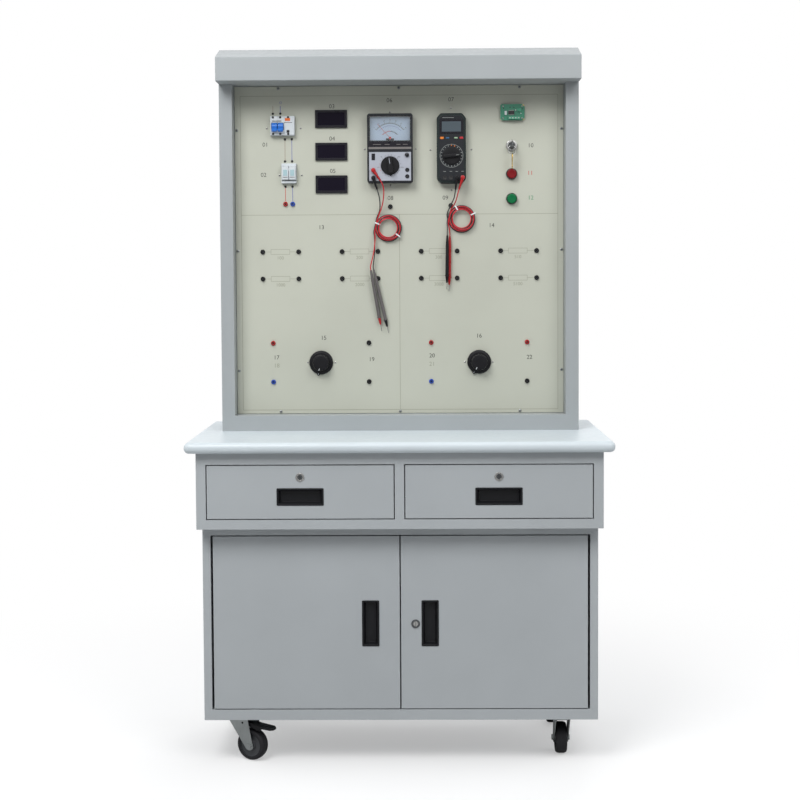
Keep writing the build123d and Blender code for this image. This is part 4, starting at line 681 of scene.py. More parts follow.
def islandBoxes(node):
    # lowest and highest corner of each separate solid of a node, left to right and then upwards
    bm = mergedNode(node)
    left = set(bm.verts)
    boxes = []
    while left:
        group, front = set(), [left.pop()]
        while front:
            vert = front.pop()
            group.add(vert)
            for edge in vert.link_edges:
                other = edge.other_vert(vert)
                if other in left:
                    left.discard(other)
                    front.append(other)
        low = Vector([min(v.co[i] for v in group) for i in range(3)])
        high = Vector([max(v.co[i] for v in group) for i in range(3)])
        boxes.append((low, high))
    bm.free()
    return sorted(boxes, key=lambda box: (round(box[0].x, 3), round(box[0].z, 3)))


def soften(node, paintNames, slot, width=0.0005, segments=2, choose=None):
    # a merged copy of a rigid node whose hard edges are rounded, which stands for the node
    bm = mergedNode(node)
    dissolveFlat(bm)
    mask = bm.loops.layers.float.new("edge")
    for face in roundEdges(bm, hardEdges(bm), width, segments)["faces"]:
        for loop in face.loops:
            loop[mask] = 1.0
    if choose:
        for face in bm.faces:
            face.material_index = choose(face)
    body = frame["nodes"][node]["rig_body"]
    return addPiece(node + "Shell", bm, paintNames, body, slot, (node,), sharp=50)


def centreOf(box):
    return (box[0] + box[1]) / 2


# Test leads

leadLook = {"diameter": 0.0028, "turns": 3, "pointsPerTurn": 14, "outer": 0.0355, "inner": 0.0245,
            "redIn": 0.0024, "endTurn": 180.0, "tuck": 0.01, "lead": 0.012, "tail": 0.009,
            "intoProbe": 0.008, "inProbe": 0.04}

analogCoil = (-0.0265, 1.283)
digitalCoil = (0.1565, 1.305)
# depths of the layers that a coil spirals in on and out on
layers = {"black": (0.0433, 0.04), "red": (0.0367, 0.0334)}

leads = {
    "analogRed": {
        "colour": "red", "coil": analogCoil, "start": 155.0,
        "socket": (-0.0634, 0.0173, 1.4255), "arm": (0.56, -0.83),
        "upper": [(-0.0376, 0.0195, 1.378), (-0.0384, 0.0255, 1.357), (-0.0435, 0.0325, 1.333)],
        "lower": [(-0.0602, 0.0326, 1.262), (-0.0616, 0.0316, 1.24), (-0.0656, 0.0306, 1.214)],
        "probe": (-0.0716, 0.03, 1.179), "tip": (-0.0456, 0.0384, 1.026),
        "handle": "probeGrey", "nose": "redPlastic",
    },
    "analogBlack": {
        "colour": "black", "coil": analogCoil, "start": 155.0,
        "socket": (-0.0634, 0.0173, 1.4065), "arm": (0.3, -0.95),
        "upper": [(-0.0486, 0.022, 1.357), (-0.0474, 0.0315, 1.341), (-0.049, 0.0398, 1.325)],
        "lower": [(-0.0624, 0.0384, 1.262), (-0.0614, 0.0362, 1.242), (-0.0618, 0.0346, 1.216)],
        "probe": (-0.0648, 0.0336, 1.18), "tip": (-0.028, 0.0384, 1.021),
        "handle": "probeGrey", "nose": "blackPlastic",
    },
    "digitalRed": {
        "colour": "red", "coil": digitalCoil, "start": 155.0,
        "socket": (0.1575, 0.0155, 1.406), "arm": (-0.3, -0.95),
        "upper": [(0.1428, 0.0205, 1.356), (0.1386, 0.029, 1.3425)],
        "lower": [(0.1243, 0.0362, 1.281)],
        "probe": (0.1255, 0.039, 1.262), "tip": (0.1234, 0.039, 1.124),
        "handle": "redPlastic", "nose": "redPlastic",
    },
    "digitalBlack": {
        "colour": "black", "coil": digitalCoil, "start": 180.0,
        "socket": (0.143, 0.0155, 1.406), "arm": (-0.12, -0.99),
        "upper": [(0.1366, 0.021, 1.3565), (0.1305, 0.03, 1.344), (0.1242, 0.0382, 1.3305)],
        "lower": [(0.12, 0.0347, 1.28)],
        "probe": (0.119, 0.0294, 1.264), "tip": (0.1176, 0.0294, 1.129),
        "handle": "blackPlastic", "nose": "blackPlastic",
    },
}

plugLook = {"headRadius": 0.0055, "headOut": 0.009, "armLength": 0.03, "armWide": 0.0042, "armThin": 0.0024,
            "ribs": 7, "firstRib": 0.012, "ribStep": 0.0024}
# (radius, distance) pairs from the handle's start, and from its end
probeLook = {
    "bare": 0.017, "rings": 5, "firstRing": 0.03, "ringStep": 0.0042,
    "ring": [(0.0041, 0), (0.0037, 0.0006), (0.0037, 0.0018), (0.0041, 0.0024)],
    "start": [(0, 0), (0.002, 0), (0.0024, 0.0006), (0.0028, 0.006), (0.0038, 0.022), (0.004, 0.026)],
    "guard": [(0.0042, 0.03), (0.0042, 0.0195), (0.0053, 0.019), (0.0053, 0.0172), (0.004, 0.0168),
              (0, 0.0168)],
    "nose": [(0, 0.0169), (0.0039, 0.0169), (0.0034, 0.01), (0.0024, 0.003), (0.0019, 0), (0, 0)],
}


def coilPoints(lead):
    # spirals in on one layer and out again on the next, the layer changing in half a turn
    look = leadLook
    shift = look["redIn"] if lead["colour"] == "red" else 0
    first, last = layers[lead["colour"]]
    outer, inner = look["outer"] - shift, look["inner"] - shift
    total = math.radians(360 * look["turns"] + look["endTurn"] - lead["start"])
    count = round(look["pointsPerTurn"] * total / (2 * math.pi))
    x, z = lead["coil"]
    points = []
    for step in range(count + 1):
        angle = math.radians(lead["start"]) + total * step / count
        halfway = step - count / 2
        radius = inner + (outer - inner) * abs(halfway) / (count / 2)
        change = min(max(0.5 + halfway / (look["pointsPerTurn"] / 2), 0.0), 1.0)
        depth = first + (last - first) * change
        points.append(Vector((x + radius * math.cos(angle), depth, z + radius * math.sin(angle))))
    return points


def routeOf(lead):
    look = leadLook
    along = armOf(lead)
    outlet = Vector(lead["socket"]) + along * plugLook["armLength"]
    turns = coilPoints(lead)
    into = (turns[1] - turns[0]).normalized()
    away = (turns[-1] - turns[-2]).normalized()
    probe, tip = Vector(lead["probe"]), Vector(lead["tip"])
    return [
        outlet, outlet + along * look["tuck"], *[Vector(p) for p in lead["upper"]],
        turns[0] - into * look["lead"], *turns, turns[-1] + away * look["tail"],
        *[Vector(p) for p in lead["lower"]], probe - (tip - probe).normalized() * look["intoProbe"], probe,
        tip - (tip - probe).normalized() * look["inProbe"],
    ]


def armOf(lead):
    return Vector((lead["arm"][0], 0, lead["arm"][1])).normalized()


def makePlug(name, lead):
    look = plugLook
    x, y, z = lead["socket"]
    rim, out = look["headRadius"], look["headOut"]
    bm = bmesh.new()
    put(bm, lathe(
        [(0, 0), (rim - 0.0004, 0), (rim, 0.0004), (rim, out - 0.0012), (rim - 0.0003, out - 0.0005),
         (rim - 0.0012, out), (0, out)],
        (x, y + out / 2, z), steps=40))
    wide, thin, long = look["armWide"], look["armThin"], look["armLength"]
    ribs = []
    for rib in range(look["ribs"]):
        at = look["firstRib"] + rib * look["ribStep"]
        radius = wide - (wide - thin) * at / long
        ribs += [(radius, at), (radius - 0.0005, at + 0.0004)]
        ribs += [(radius - 0.0005, at + 0.0014), (radius - 0.0001, at + 0.0018)]
    put(bm, lathe([(0, 0), (wide, 0.001), *ribs, (thin, long - 0.001), (thin - 0.0006, long), (0, long)],
                  (x, y, z), axis=armOf(lead), steps=32))
    colour = lead["colour"]
    stands = ("lead_ends_" + colour,)
    return addPiece(name + "Plug", bm, [colour + "Plastic"], slot=colour + "_wire", stands=stands)


def makeProbe(name, lead):
    look = probeLook
    start, tip = Vector(lead["probe"]), Vector(lead["tip"])
    along = (tip - start).normalized()
    length = (tip - start).length
    handle = length - look["bare"]
    grip = []
    for ring in range(look["rings"]):
        at = look["firstRing"] + ring * look["ringStep"]
        grip += [(radius, at + further) for radius, further in look["ring"]]
    guard = [(radius, handle - before) for radius, before in look["guard"]]
    nose = [(radius, handle - before) for radius, before in look["nose"]]
    tipSteel = [(0, handle - 0.001), (0.0009, handle - 0.001), (0.0009, length - 0.004),
                (0.0005, length - 0.0008), (0, length)]
    bm = bmesh.new()
    put(bm, lathe([*look["start"], *grip, *guard], start, axis=along, steps=36), 0)
    put(bm, lathe(nose, start, axis=along, steps=36), 1)
    put(bm, lathe(tipSteel, start, axis=along, steps=20), 2)
    colour = lead["colour"]
    paintNames = [lead["handle"], lead["nose"], "brightSteel"]
    return addPiece(name + "Probe", bm, paintNames, slot=colour + "_wire", stands=("lead_ends_" + colour,))


def meshOf(piece):
    # the mesh that a curve or text object makes
    scene.collection.objects.link(piece)
    bpy.context.view_layer.update()
    return bpy.data.meshes.new_from_object(piece.evaluated_get(bpy.context.evaluated_depsgraph_get()))


def splineLength(piece):
    plain = piece.data.copy()
    plain.bevel_depth = 0
    thread = bpy.data.objects.new("measure", plain)
    mesh = meshOf(thread)
    ends = [[mesh.vertices[i].co for i in edge.vertices] for edge in mesh.edges]
    total = sum((first - last).length for first, last in ends)
    bpy.data.objects.remove(thread)
    bpy.data.meshes.remove(mesh)
    bpy.data.curves.remove(plain)
    return total


def makeLead(name, lead):
    points = routeOf(lead)
    curve = bpy.data.curves.new(name + "Lead", "CURVE")
    curve.dimensions = "3D"
    spline = curve.splines.new("NURBS")
    spline.points.add(len(points) - 1)
    for place, point in zip(points, spline.points):
        point.co = (*place, 1)
    spline.order_u = 3
    spline.use_endpoint_u = True
    spline.resolution_u = 8
    curve.bevel_depth = leadLook["diameter"] / 2
    curve.bevel_resolution = 4
    curve.use_fill_caps = True
    colour = lead["colour"]
    curve.materials.append(paints[colour + "Wire"])
    piece = bpy.data.objects.new(name + "Lead", curve)
    scene.collection.objects.link(piece)
    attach(piece, "cabinet")
    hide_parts("lead_runs_" + colour, "lead_coils")
    length = splineLength(piece)
    print(name, "lead", round(length * 1000), "mm")
    plug, probe = makePlug(name, lead), makeProbe(name, lead)
    tuple(points[0])


tieLook = {"wide": 0.0155, "deep": 0.0128, "band": 0.0032, "thick": 0.0005, "corner": 0.004, "inward": 0.0004,
           "angles": {"analog": (158, -38), "digital": (118, 24)}}


def makeTies():
    # short plastic bands that hold the coils together
    for name, coil in (("analog", analogCoil), ("digital", digitalCoil)):
        bm = bmesh.new()
        middle = (leadLook["outer"] + leadLook["inner"]) / 2 - tieLook["inward"]
        depth = (layers["black"][0] + layers["red"][1]) / 2
        for degrees in tieLook["angles"][name]:
            angle = math.radians(degrees)
            band = bmesh.new()
            bmesh.ops.create_cube(band, size=1)
            bmesh.ops.scale(band, vec=(tieLook["wide"], tieLook["deep"], tieLook["band"]), verts=band.verts)
            ends = [f for f in band.faces if abs(f.normal.z) > 0.5]
            bmesh.ops.delete(band, geom=ends, context="FACES_ONLY")
            corners = [e for e in band.edges if len(e.link_faces) == 2]
            roundEdges(band, corners, tieLook["corner"], 5)
            bmesh.ops.solidify(band, geom=band.faces[:], thickness=tieLook["thick"])
            bmesh.ops.recalc_face_normals(band, faces=band.faces)
            place = (coil[0] + middle * math.cos(angle), depth, coil[1] + middle * math.sin(angle))
            matrix = Matrix.Translation(place) @ Matrix.Rotation(-angle, 4, "Y")
            bmesh.ops.transform(band, matrix=matrix, verts=band.verts)
            put(bm, band)
        addPiece(name + "CoilTies", bm, ["tieWhite"], slot="white_plastic")


for leadName, leadData in leads.items():
    makeLead(leadName, leadData)
makeTies()
print("leads made")


# Sheet steel and board

lockLook = {"reach": 0.0125, "largest": 0.0008,
            "door": (0.036, 0.341), "drawers": ((-0.2315, 0.69725), (0.2315, 0.69725))}


def nearLock(places):
    # gives the lock barrels the second paint (bright steel on the drawers, dark steel on the door) and leaves
    # the sheet as the first paint
    def choose(face):
        middle = face.calc_center_median()
        for x, z in places:
            if math.hypot(middle.x - x, middle.z - z) < lockLook["reach"]:
                return 1 if face.calc_area() < lockLook["largest"] else 0
        return 0
    return choose


worktopLook = {"corner": 0.014, "least": 0.0012, "upper": 0.0125, "lower": 0.0115,
               "steps": 9, "cornerSteps": 8}


def makeWorktop():
    # the worktop with its post-formed round nose, as rings from the underside to the top
    low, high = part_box("worktop")
    look = worktopLook
    angles = [step / look["steps"] * math.pi / 2 for step in range(look["steps"] + 1)]
    rings = [(look["lower"] * (1 - math.sin(a)), low.z + look["lower"] * (1 - math.cos(a))) for a in angles]
    rings += [(look["upper"] * (1 - math.cos(a)), high.z - look["upper"] * (1 - math.sin(a))) for a in angles]
    bm = bmesh.new()
    rows = []
    for inset, z in rings:
        radius = max(look["corner"] - inset, look["least"])
        row = []
        for right, back, start in ((1, 1, 0), (-1, 1, 90), (-1, -1, 180), (1, -1, 270)):
            x = right * (high.x - inset - radius)
            y = (low.y + high.y) / 2 + back * ((high.y - low.y) / 2 - inset - radius)
            for step in range(look["cornerSteps"] + 1):
                turn = math.radians(start + 90 * step / look["cornerSteps"])
                row.append(bm.verts.new((x + radius * math.cos(turn), y + radius * math.sin(turn), z)))
        rows.append(row)
    for under, over in zip(rows, rows[1:]):
        for i in range(len(under)):
            j = (i + 1) % len(under)
            bm.faces.new((under[i], under[j], over[j], over[i]))
    bm.faces.new(rows[-1])
    bm.faces.new(list(reversed(rows[0])))
    bmesh.ops.recalc_face_normals(bm, faces=bm.faces)
    addPiece("worktopNosed", bm, ["worktopBoard"], slot="worktop_board", stands=("worktop",), sharp=40)


makeWorktop()
for sheet, paint, slot, width in (
    ("base_cabinet", "greySteel", "grey_steel", 0.0005),
    ("cabinet_shelf", "greySteel", "grey_steel", 0.0004),
    ("drawer_case", "greySteel", "grey_steel", 0.0004),
    ("upper_frame", "housingSteel", "housing_steel", 0.0004),
    ("hood", "housingSteel", "housing_steel", 0.0004),
    ("back_cover", "housingSteel", "housing_steel", 0.0003),
    ("instrument_panel", "panelSheet", "panel_sheet", 0.0003),
    ("door_left", "doorSteel", "grey_steel", 0.0004),
):
    soften(sheet, [paint], slot, width)
soften("door_right", ["doorSteel", "darkSteel"], "grey_steel", 0.0004, choose=nearLock([lockLook["door"]]))
for side in ("left", "right"):
    drawerPaints = ["doorSteel", "brightSteel"]
    soften("drawer_" + side, drawerPaints, "grey_steel", 0.0004, choose=nearLock(lockLook["drawers"]))
    soften("door_pull_" + side, ["pullBlack"], "black_plastic", 0.0006, 3)
    soften("drawer_pull_" + side, ["pullBlack"], "black_plastic", 0.0006, 3)
    soften("drawer_lock_" + side, ["darkSteel"], "bright_steel", 0.0003)
soften("door_lock", ["brightSteel"], "bright_steel", 0.0003)
print("sheet steel rounded")


# Screws

# radius and height of each kind of head
screwLook = {
    "panel": (0.0038, 0.0021), "small": (0.0024, 0.0014),
    "cover": (0.0042, 0.0021), "circuit": (0.0021, 0.0012),
    "dome": [(1, 0), (1, 0.35), (0.86, 0.75), (0.55, 0.96), (0, 1)],
    "coverEdge": 0.012, "slotWide": 0.26, "slotLong": 1.15, "slotThick": 0.0003, "slotIn": 0.00008,
}
instrumentScrews = [
    (-0.329, 1.5324), (-0.2443, 1.5324), (-0.2986, 1.416), (-0.2426, 1.416), (-0.022, 1.5706),
    (-0.0855, 1.4795), (0.0417, 1.4795), (-0.0215, 1.3895), (0.078, 1.477), (0.1803, 1.4775),
    (0.13, 1.5803), (0.1306, 1.3768), (-0.2315, 0.948), (-0.1625, 0.948), (0.1625, 0.948),
    (0.2315, 0.948),
]


def screwHead(bm, place, kind, turn, head=0, cross=1, axis=(0, -1, 0)):
    # a pan head whose crossed recess is not cut but shown as a flat black cross of painted shade; place is on
    # the sheet that it holds
    look = screwLook
    radius, out = look[kind]
    dome = [(radius * across, out * up) for across, up in look["dome"]]
    put(bm, lathe(dome, place, axis=axis, steps=28), head)
    middle = Vector(place) + Vector(axis) * (out - look["slotIn"])
    # painted shade: two thin black bars on the dome stand for the dark inside of the recess
    for quarter in (0, math.pi / 2):
        size = (radius * look["slotLong"], look["slotThick"], radius * look["slotWide"])
        put(bm, block(size, middle, turn + quarter), cross)


def makeScrews():
    bm = bmesh.new()
    for number, box in enumerate(islandBoxes("panel_screws")):
        middle = centreOf(box)
        screwHead(bm, (middle.x, panelFront, middle.z), "panel", number * 0.7)
    addPiece("panelScrewHeads", bm, ["zincSteel", "chipBlack"], slot="bright_steel", stands=("panel_screws",))
    bm = bmesh.new()
    for number, (x, z) in enumerate(instrumentScrews):
        screwHead(bm, (x, panelFront, z), "small", number * 0.9)
    addPiece("instrumentScrews", bm, ["brightSteel", "chipBlack"], slot="bright_steel")
    bm = bmesh.new()
    low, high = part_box("back_cover")
    edge = screwLook["coverEdge"]
    left, right, bottom, top = low.x + edge, high.x - edge, low.z + edge, high.z - edge
    places = [(x, z) for x in (left, low.x / 3, high.x / 3, right) for z in (bottom, top)]
    rows = (low.z * 0.67 + high.z * 0.33, low.z * 0.33 + high.z * 0.67)
    places += [(x, z) for x in (left, right) for z in rows]
    for x, z in places:
        screwHead(bm, (x, high.y, z), "cover", x * 9 + z, axis=(0, 1, 0))
    addPiece("coverScrews", bm, ["brightSteel", "chipBlack"], slot="bright_steel")


makeScrews()


# Print on the panel

inks = ["lineInk", "blackInk", "redInk", "blueInk", "brownInk", "greenInk", "chipBlack"]
printLook = {
    "thick": 0.00012, "line": 0.0011, "symbol": 0.0009, "wire": 0.0013, "number": 0.0105, "value": 0.8,
    "edge": 0.395, "top": 1.6125, "middle": 1.3173, "bottom": 0.829,
    "resistorWide": 0.0234, "resistorTall": 0.00625, "resistorReach": 0.0385,
}


def printLine(bm, start, end, width, ink, front=None):
    # a printed line between two places (x, z)
    (x0, z0), (x1, z1) = start, end
    thick = printLook["thick"]
    depth = (panelFront if front is None else front) - thick / 2
    length = math.hypot(x1 - x0, z1 - z0)
    turn = -math.atan2(z1 - z0, x1 - x0)
    put(bm, block((length, thick, width), ((x0 + x1) / 2, depth, (z0 + z1) / 2), turn), inks.index(ink))


def printNumber(bm, words, place, height, ink, front=None, turn=0.0):
    # plain numerals, solid and flat on the panel; place is their middle (x, z)
    curve = bpy.data.curves.new("numerals", "FONT")
    curve.body = words
    curve.size = height * 1.4
    curve.align_x = "CENTER"
    curve.align_y = "CENTER"
    curve.extrude = printLook["thick"] / 2
    curve.resolution_u = 3
    text = bpy.data.objects.new("numerals", curve)
    mesh = meshOf(text)
    part = bmesh.new()
    part.from_mesh(mesh)
    bpy.data.objects.remove(text)
    bpy.data.meshes.remove(mesh)
    bpy.data.curves.remove(curve)
    depth = (panelFront if front is None else front) - printLook["thick"] / 2
    stand = Matrix.Rotation(turn, 4, "Y") @ Matrix.Rotation(math.pi / 2, 4, "X")
    matrix = Matrix.Translation((place[0], depth, place[1])) @ stand
    bmesh.ops.transform(part, matrix=matrix, verts=part.verts)
    put(bm, part, inks.index(ink))


# where the numbers from 01 stand, in their order
numberPlaces = [
    (-0.3332, 1.4921), (-0.3382, 1.417), (-0.1665, 1.586), (-0.1665, 1.506), (-0.1653, 1.4257),
    (-0.0232, 1.5998), (0.1299, 1.601), (-0.022, 1.3577), (0.115, 1.3577), (0.3275, 1.486),
    (0.3263, 1.418), (0.3275, 1.3565), (-0.1949, 1.286), (0.2299, 1.2886), (-0.1914, 1.0095),
    (0.1978, 1.013), (-0.3102, 0.9606), (-0.3098, 0.9403), (-0.0714, 0.9551), (0.08, 0.9638),
    (0.08, 0.9428), (0.3238, 0.959),
]
colouredNumbers = {"11": "redInk", "12": "greenInk", "18": "lineInk", "21": "lineInk"}
resistors = [(-0.29815, "100"), (-0.1, "200"), (0.09775, "300"), (0.29525, "510")]
resistorRows = [(1.2255, 1.21, ""), (1.158, 1.1425, "0")]
grommets = [
    (-0.3135, 1.5688), (-0.295, 1.5691), (-0.2841, 1.5052), (-0.267, 1.5056),
    (-0.2844, 1.4506), (-0.2666, 1.4507), (-0.2835, 1.388), (-0.266, 1.3879),
]


wires = [
    ((-0.3135, 1.5715), (-0.3135, 1.588), "brownInk"), ((-0.295, 1.572), (-0.295, 1.588), "blueInk"),
    ((-0.2841, 1.5022), (-0.2841, 1.4536), "brownInk"), ((-0.267, 1.5026), (-0.267, 1.4537), "blueInk"),
    ((-0.2837, 1.385), (-0.2838, 1.3515), "redInk"), ((-0.266, 1.3849), (-0.2659, 1.3515), "blueInk"),
]
wireLoop = {"place": (-0.2945, 1.596), "radius": 0.0026, "width": 0.0008}
grommetProfile = [(0.0031, 0), (0.0031, 0.0006), (0.0027, 0.0011), (0.0018, 0.001), (0.0013, 0.0003),
                  (0, 0.0003)]


def printResistor(bm, x, z):
    look = printLook
    wide, tall = look["resistorWide"], look["resistorTall"]
    corners = [(x - wide, z - tall), (x + wide, z - tall), (x + wide, z + tall), (x - wide, z + tall)]
    for start, end in zip(corners, corners[1:] + corners[:1]):
        printLine(bm, start, end, look["symbol"], "lineInk")
    for side in (-1, 1):
        printLine(bm, (x + side * wide, z), (x + side * look["resistorReach"], z), look["symbol"], "lineInk")


def makePanelPrint():
    look = printLook
    bm = bmesh.new()
    edge, top, middle, bottom = look["edge"], look["top"], look["middle"], look["bottom"]
    for start, end in (
        ((-edge, middle), (edge, middle)), ((0, middle), (0, bottom)), ((-edge, bottom), (edge, bottom)),
        ((-edge, top), (edge, top)), ((-edge, bottom), (-edge, top)), ((edge, bottom), (edge, top)),
    ):
        printLine(bm, start, end, look["line"], "lineInk")
    for x, value in resistors:
        for z, below, more in resistorRows:
            printResistor(bm, x, z)
            printNumber(bm, value + more, (x, below), look["number"] * look["value"], "lineInk")
    for number, place in enumerate(numberPlaces, 1):
        words = f"{number:02d}"
        printNumber(bm, words, place, look["number"], colouredNumbers.get(words, "blackInk"))
    for start, end, ink in wires:
        printLine(bm, start, end, look["wire"], ink)
    (x, z), radius, width = wireLoop["place"], wireLoop["radius"], wireLoop["width"]
    loop = arcStrip((x, panelFront, z), radius, width, 0, 2 * math.pi, look["thick"], 24)
    put(bm, loop, inks.index("blueInk"))
    addPiece("panelPrint", bm, inks, slot="panel_sheet")
    bm = bmesh.new()
    for x, z in grommets:
        put(bm, lathe(grommetProfile, (x, panelFront, z), steps=24))
    addPiece("wireGrommets", bm, ["chipBlack"], slot="black_plastic")


makePanelPrint()
print("screws and print made")


# Sockets

socketLook = {
    "ring": [(0.006, 0), (0.006, 0.001), (0.0057, 0.0014), (0.0051, 0.0015), (0.005, 0.0043),
             (0.0044, 0.005), (0.0032, 0.005), (0.0029, 0.0046), (0.0027, 0.0006), (0, 0.0006)],
    "sleeve": [(0.0027, 0.0008), (0.0027, 0.0034), (0.0021, 0.0034), (0.002, 0.0008)],
}


def makeSockets():
    for colour in ("black", "red", "blue"):
        node = "jacks_" + colour
        bm = bmesh.new()
        for box in islandBoxes(node):
            middle = centreOf(box)
            place = (middle.x, panelFront, middle.z)
            put(bm, lathe(socketLook["ring"], place, steps=36), 0)
            put(bm, lathe(socketLook["sleeve"], place, steps=24), 1)
        paintNames = [colour + "Plastic", "darkSteel"]
        addPiece(colour + "Sockets", bm, paintNames, slot=colour + "_plastic", stands=(node,))


makeSockets()


# Panel meters

meterLook = {"rim": 0.0062, "round": 0.001, "body": (0.075, 0.039), "bodyIn": 0.0004, "tuck": 0.001,
             "glassThick": 0.0012, "glassIn": 0.0016}


def makePanelMeters():
    look = meterLook
    cases = bmesh.new()
    glass = bmesh.new()
    for low, high in islandBoxes("panel_meters"):
        x, z = (low.x + high.x) / 2, (low.z + high.z) / 2
        wide, tall, front, rim = high.x - low.x, high.z - low.z, low.y, look["rim"]
        put(cases, mitredRim(wide, tall, rim, panelFront - front, (x, panelFront, z), look["round"]), 0)
        size = (look["body"][0], high.y - panelFront, look["body"][1])
        put(cases, block(size, (x, (panelFront + high.y) / 2 + look["bodyIn"], z), soften=0.001), 0)
        size = (wide - 2 * rim + look["tuck"], look["glassThick"], tall - 2 * rim + look["tuck"])
        put(glass, block(size, (x, front + look["glassIn"], z), soften=0.0003))
    addPiece("panelMeterCases", cases, ["meterBlack"], slot="black_plastic", stands=("panel_meters",))
    addPiece("panelMeterWindows", glass, ["meterWindow"], slot="clear_window", stands=("instrument_windows",))


makePanelMeters()


# Analog meter. Places are offsets from its middle, out to the front, or up.

analogMiddle = (analogLow + analogHigh) / 2
analogFront = analogLow.y
analogLook = {
    "corner": 0.004, "wellCorner": 0.0012, "windowUp": 0.0485, "well": (0.099, 0.059), "wellIn": 0.0016,
    "ledge": (0.1024, 0.0624), "ledgeIn": 0.006, "card": (0.1, 0.001, 0.06), "cardIn": 0.013,
    "plate": (0.104, 0.0006, 0.071), "plateRim": (0.1062, 0.0732, 0.0013, 0.0006), "plateDown": 0.045,
    "plateOut": 0.0002, "body": (0.105, 0.16), "lens": (0.1016, 0.001, 0.0616), "lensIn": 0.0008,
}
cardFront = analogFront + analogLook["cardIn"]
analogWindow = (analogMiddle.x, analogMiddle.z + analogLook["windowUp"])
analogSockets = ((0.0425, -0.054), (0.0425, -0.07), (-0.0414, -0.0545), (-0.0414, -0.0735))


def onCircle(centre, radius, angle):
    # a place (x, z) at an angle clockwise from straight up
    return (centre[0] + radius * math.sin(angle), centre[1] + radius * math.cos(angle))


def behindPanel(size, place, back, soften=0.0):
    # a block of size (x, z) from the panel's front to a depth behind it
    middle = (place[0], (panelFront + back) / 2, place[1])
    return block((size[0], back - panelFront, size[1]), middle, soften=soften)


def makeAnalogCase():
    look = analogLook
    x, z = analogMiddle.x, analogMiddle.z
    case = bmesh.new()
    wide, tall = analogHigh.x - analogLow.x, analogHigh.z - analogLow.z
    outer = clippedBox(x, z, wide, tall, look["corner"], look["corner"])
    well = clippedBox(*analogWindow, *look["well"], look["wellCorner"], look["wellCorner"])
    ledge = clippedBox(*analogWindow, *look["ledge"], look["wellCorner"], look["wellCorner"])
    put(case, holedSlab(outer, well, panelFront, analogFront + look["wellIn"], 0.0003), 0)
    put(case, holedSlab(outer, ledge, analogFront + look["ledgeIn"], analogFront, 0.0009), 0)
    put(case, block(look["card"], (analogWindow[0], cardFront + 0.0005, analogWindow[1])), 2)
    middle = (x, analogFront + look["plateOut"], z - look["plateDown"])
    put(case, mitredRim(*look["plateRim"], middle, 0.0003), 0)
    put(case, block(look["plate"], middle), 1)
    put(case, behindPanel(look["body"], (x, z), analogHigh.y, soften=0.002), 0)
    paintNames = ["meterCase", "meterPlate", "scaleCard"]
    addPiece("analogCase", case, paintNames, slot="dark_plastic", stands=("analog_case",))


# arcs as radius, width, first and last degree, and ink; the last two lie about a lower centre
scaleLook = {
    "outerUp": 0.02, "innerUp": 0.018, "thick": 0.0001,
    "half": 52, "ticks": 30, "innerHalf": 48, "innerTicks": 12,
    "arcs": ((0.042, 0.0009, -52, 52, "blackInk"), (0.036, 0.0006, -50, 50, "blueInk")),
    "innerArcs": ((0.024, 0.0013, -48, 2, "redInk"), (0.024, 0.0013, 2, 48, "blackInk")),
    "tickFoot": 0.0426, "long": 0.004, "short": 0.0022, "innerTick": (0.0248, 0.027),
    "bold": 0.0008, "fine": 0.0005,
    "numberRadius": 0.05, "squeeze": 0.985, "highest": 0.0245, "numberTall": 0.0028,
}


def makeAnalogScale():
    look = scaleLook
    x, z = analogMiddle.x, analogMiddle.z
    card = bmesh.new()
    outer, inner = (x, z + look["outerUp"]), (x, z + look["innerUp"])
    for centre, arcs in ((outer, look["arcs"]), (inner, look["innerArcs"])):
        for radius, width, first, last, ink in arcs:
            place = (centre[0], cardFront, centre[1])
            arc = arcStrip(place, radius, width, math.radians(first), math.radians(last), look["thick"])
            put(card, arc, inks.index(ink))
    for tick in range(look["ticks"] + 1):
        angle = math.radians(-look["half"] + 2 * look["half"] * tick / look["ticks"])
        long = look["short"] if tick % 5 else look["long"]
        ends = [onCircle(outer, radius, angle) for radius in (look["tickFoot"], look["tickFoot"] + long)]
        printLine(card, *ends, look["fine"] if tick % 5 else look["bold"], "blackInk", front=cardFront)
    for tick in range(look["innerTicks"] + 1):
        angle = math.radians(-look["innerHalf"] + 2 * look["innerHalf"] * tick / look["innerTicks"])
        ends = [onCircle(inner, radius, angle) for radius in look["innerTick"]]
        printLine(card, *ends, look["fine"], "redInk" if tick < 7 else "blackInk", front=cardFront)
    for step in range(7):
        angle = math.radians(-look["half"] + 2 * look["half"] * step / 6)
        along, up = onCircle((0, outer[1]), look["numberRadius"], angle)
        if up < analogWindow[1] + look["highest"]:
            place, tall = (x + along * look["squeeze"], up), look["numberTall"]
            printNumber(card, str(step * 10), place, tall, "blackInk", front=cardFront, turn=angle)
    addPiece("analogScale", card, inks, slot="dark_plastic")


# bars as size, offset along, out and up, rounding, its steps, and paint
trimLook = {
    "bars": (
        ((0.104, 0.0007, 0.0112), (0, 0.0002, 0.0094), 0.0003, 2, 0),
        ((0.106, 0.0004, 0.005), (0, 0.0001, 0.0002), 0.0001, 2, 1),
    ),
    "dashes": ((-0.042, 0.02), (-0.013, 0.012), (0.016, 0.01), (0.032, 0.012)),
    "dash": (0.0003, 0.0012), "dashOut": 0.0006, "dashUp": 0.009,
    "hood": (0.02, 0.0035, 0.006), "hoodOut": 0.003, "hoodUp": 0.022,
    "tester": (0.0088, 0.0009, 0.0165), "testerPlace": (0.0414, 0.0003, 0.0215),
    "holeFrom": (0.043, 0.025), "holeStep": (0.0032, 0.007), "holeOut": 0.0007, "hole": (0.0007, 0.0002),
    "socket": [(0.0052, 0), (0.0052, 0.0007), (0.0046, 0.0012), (0.003, 0.0012), (0.0027, 0.0008),
               (0.0026, 0)],
    "bore": (0.0029, 0.0003),
}


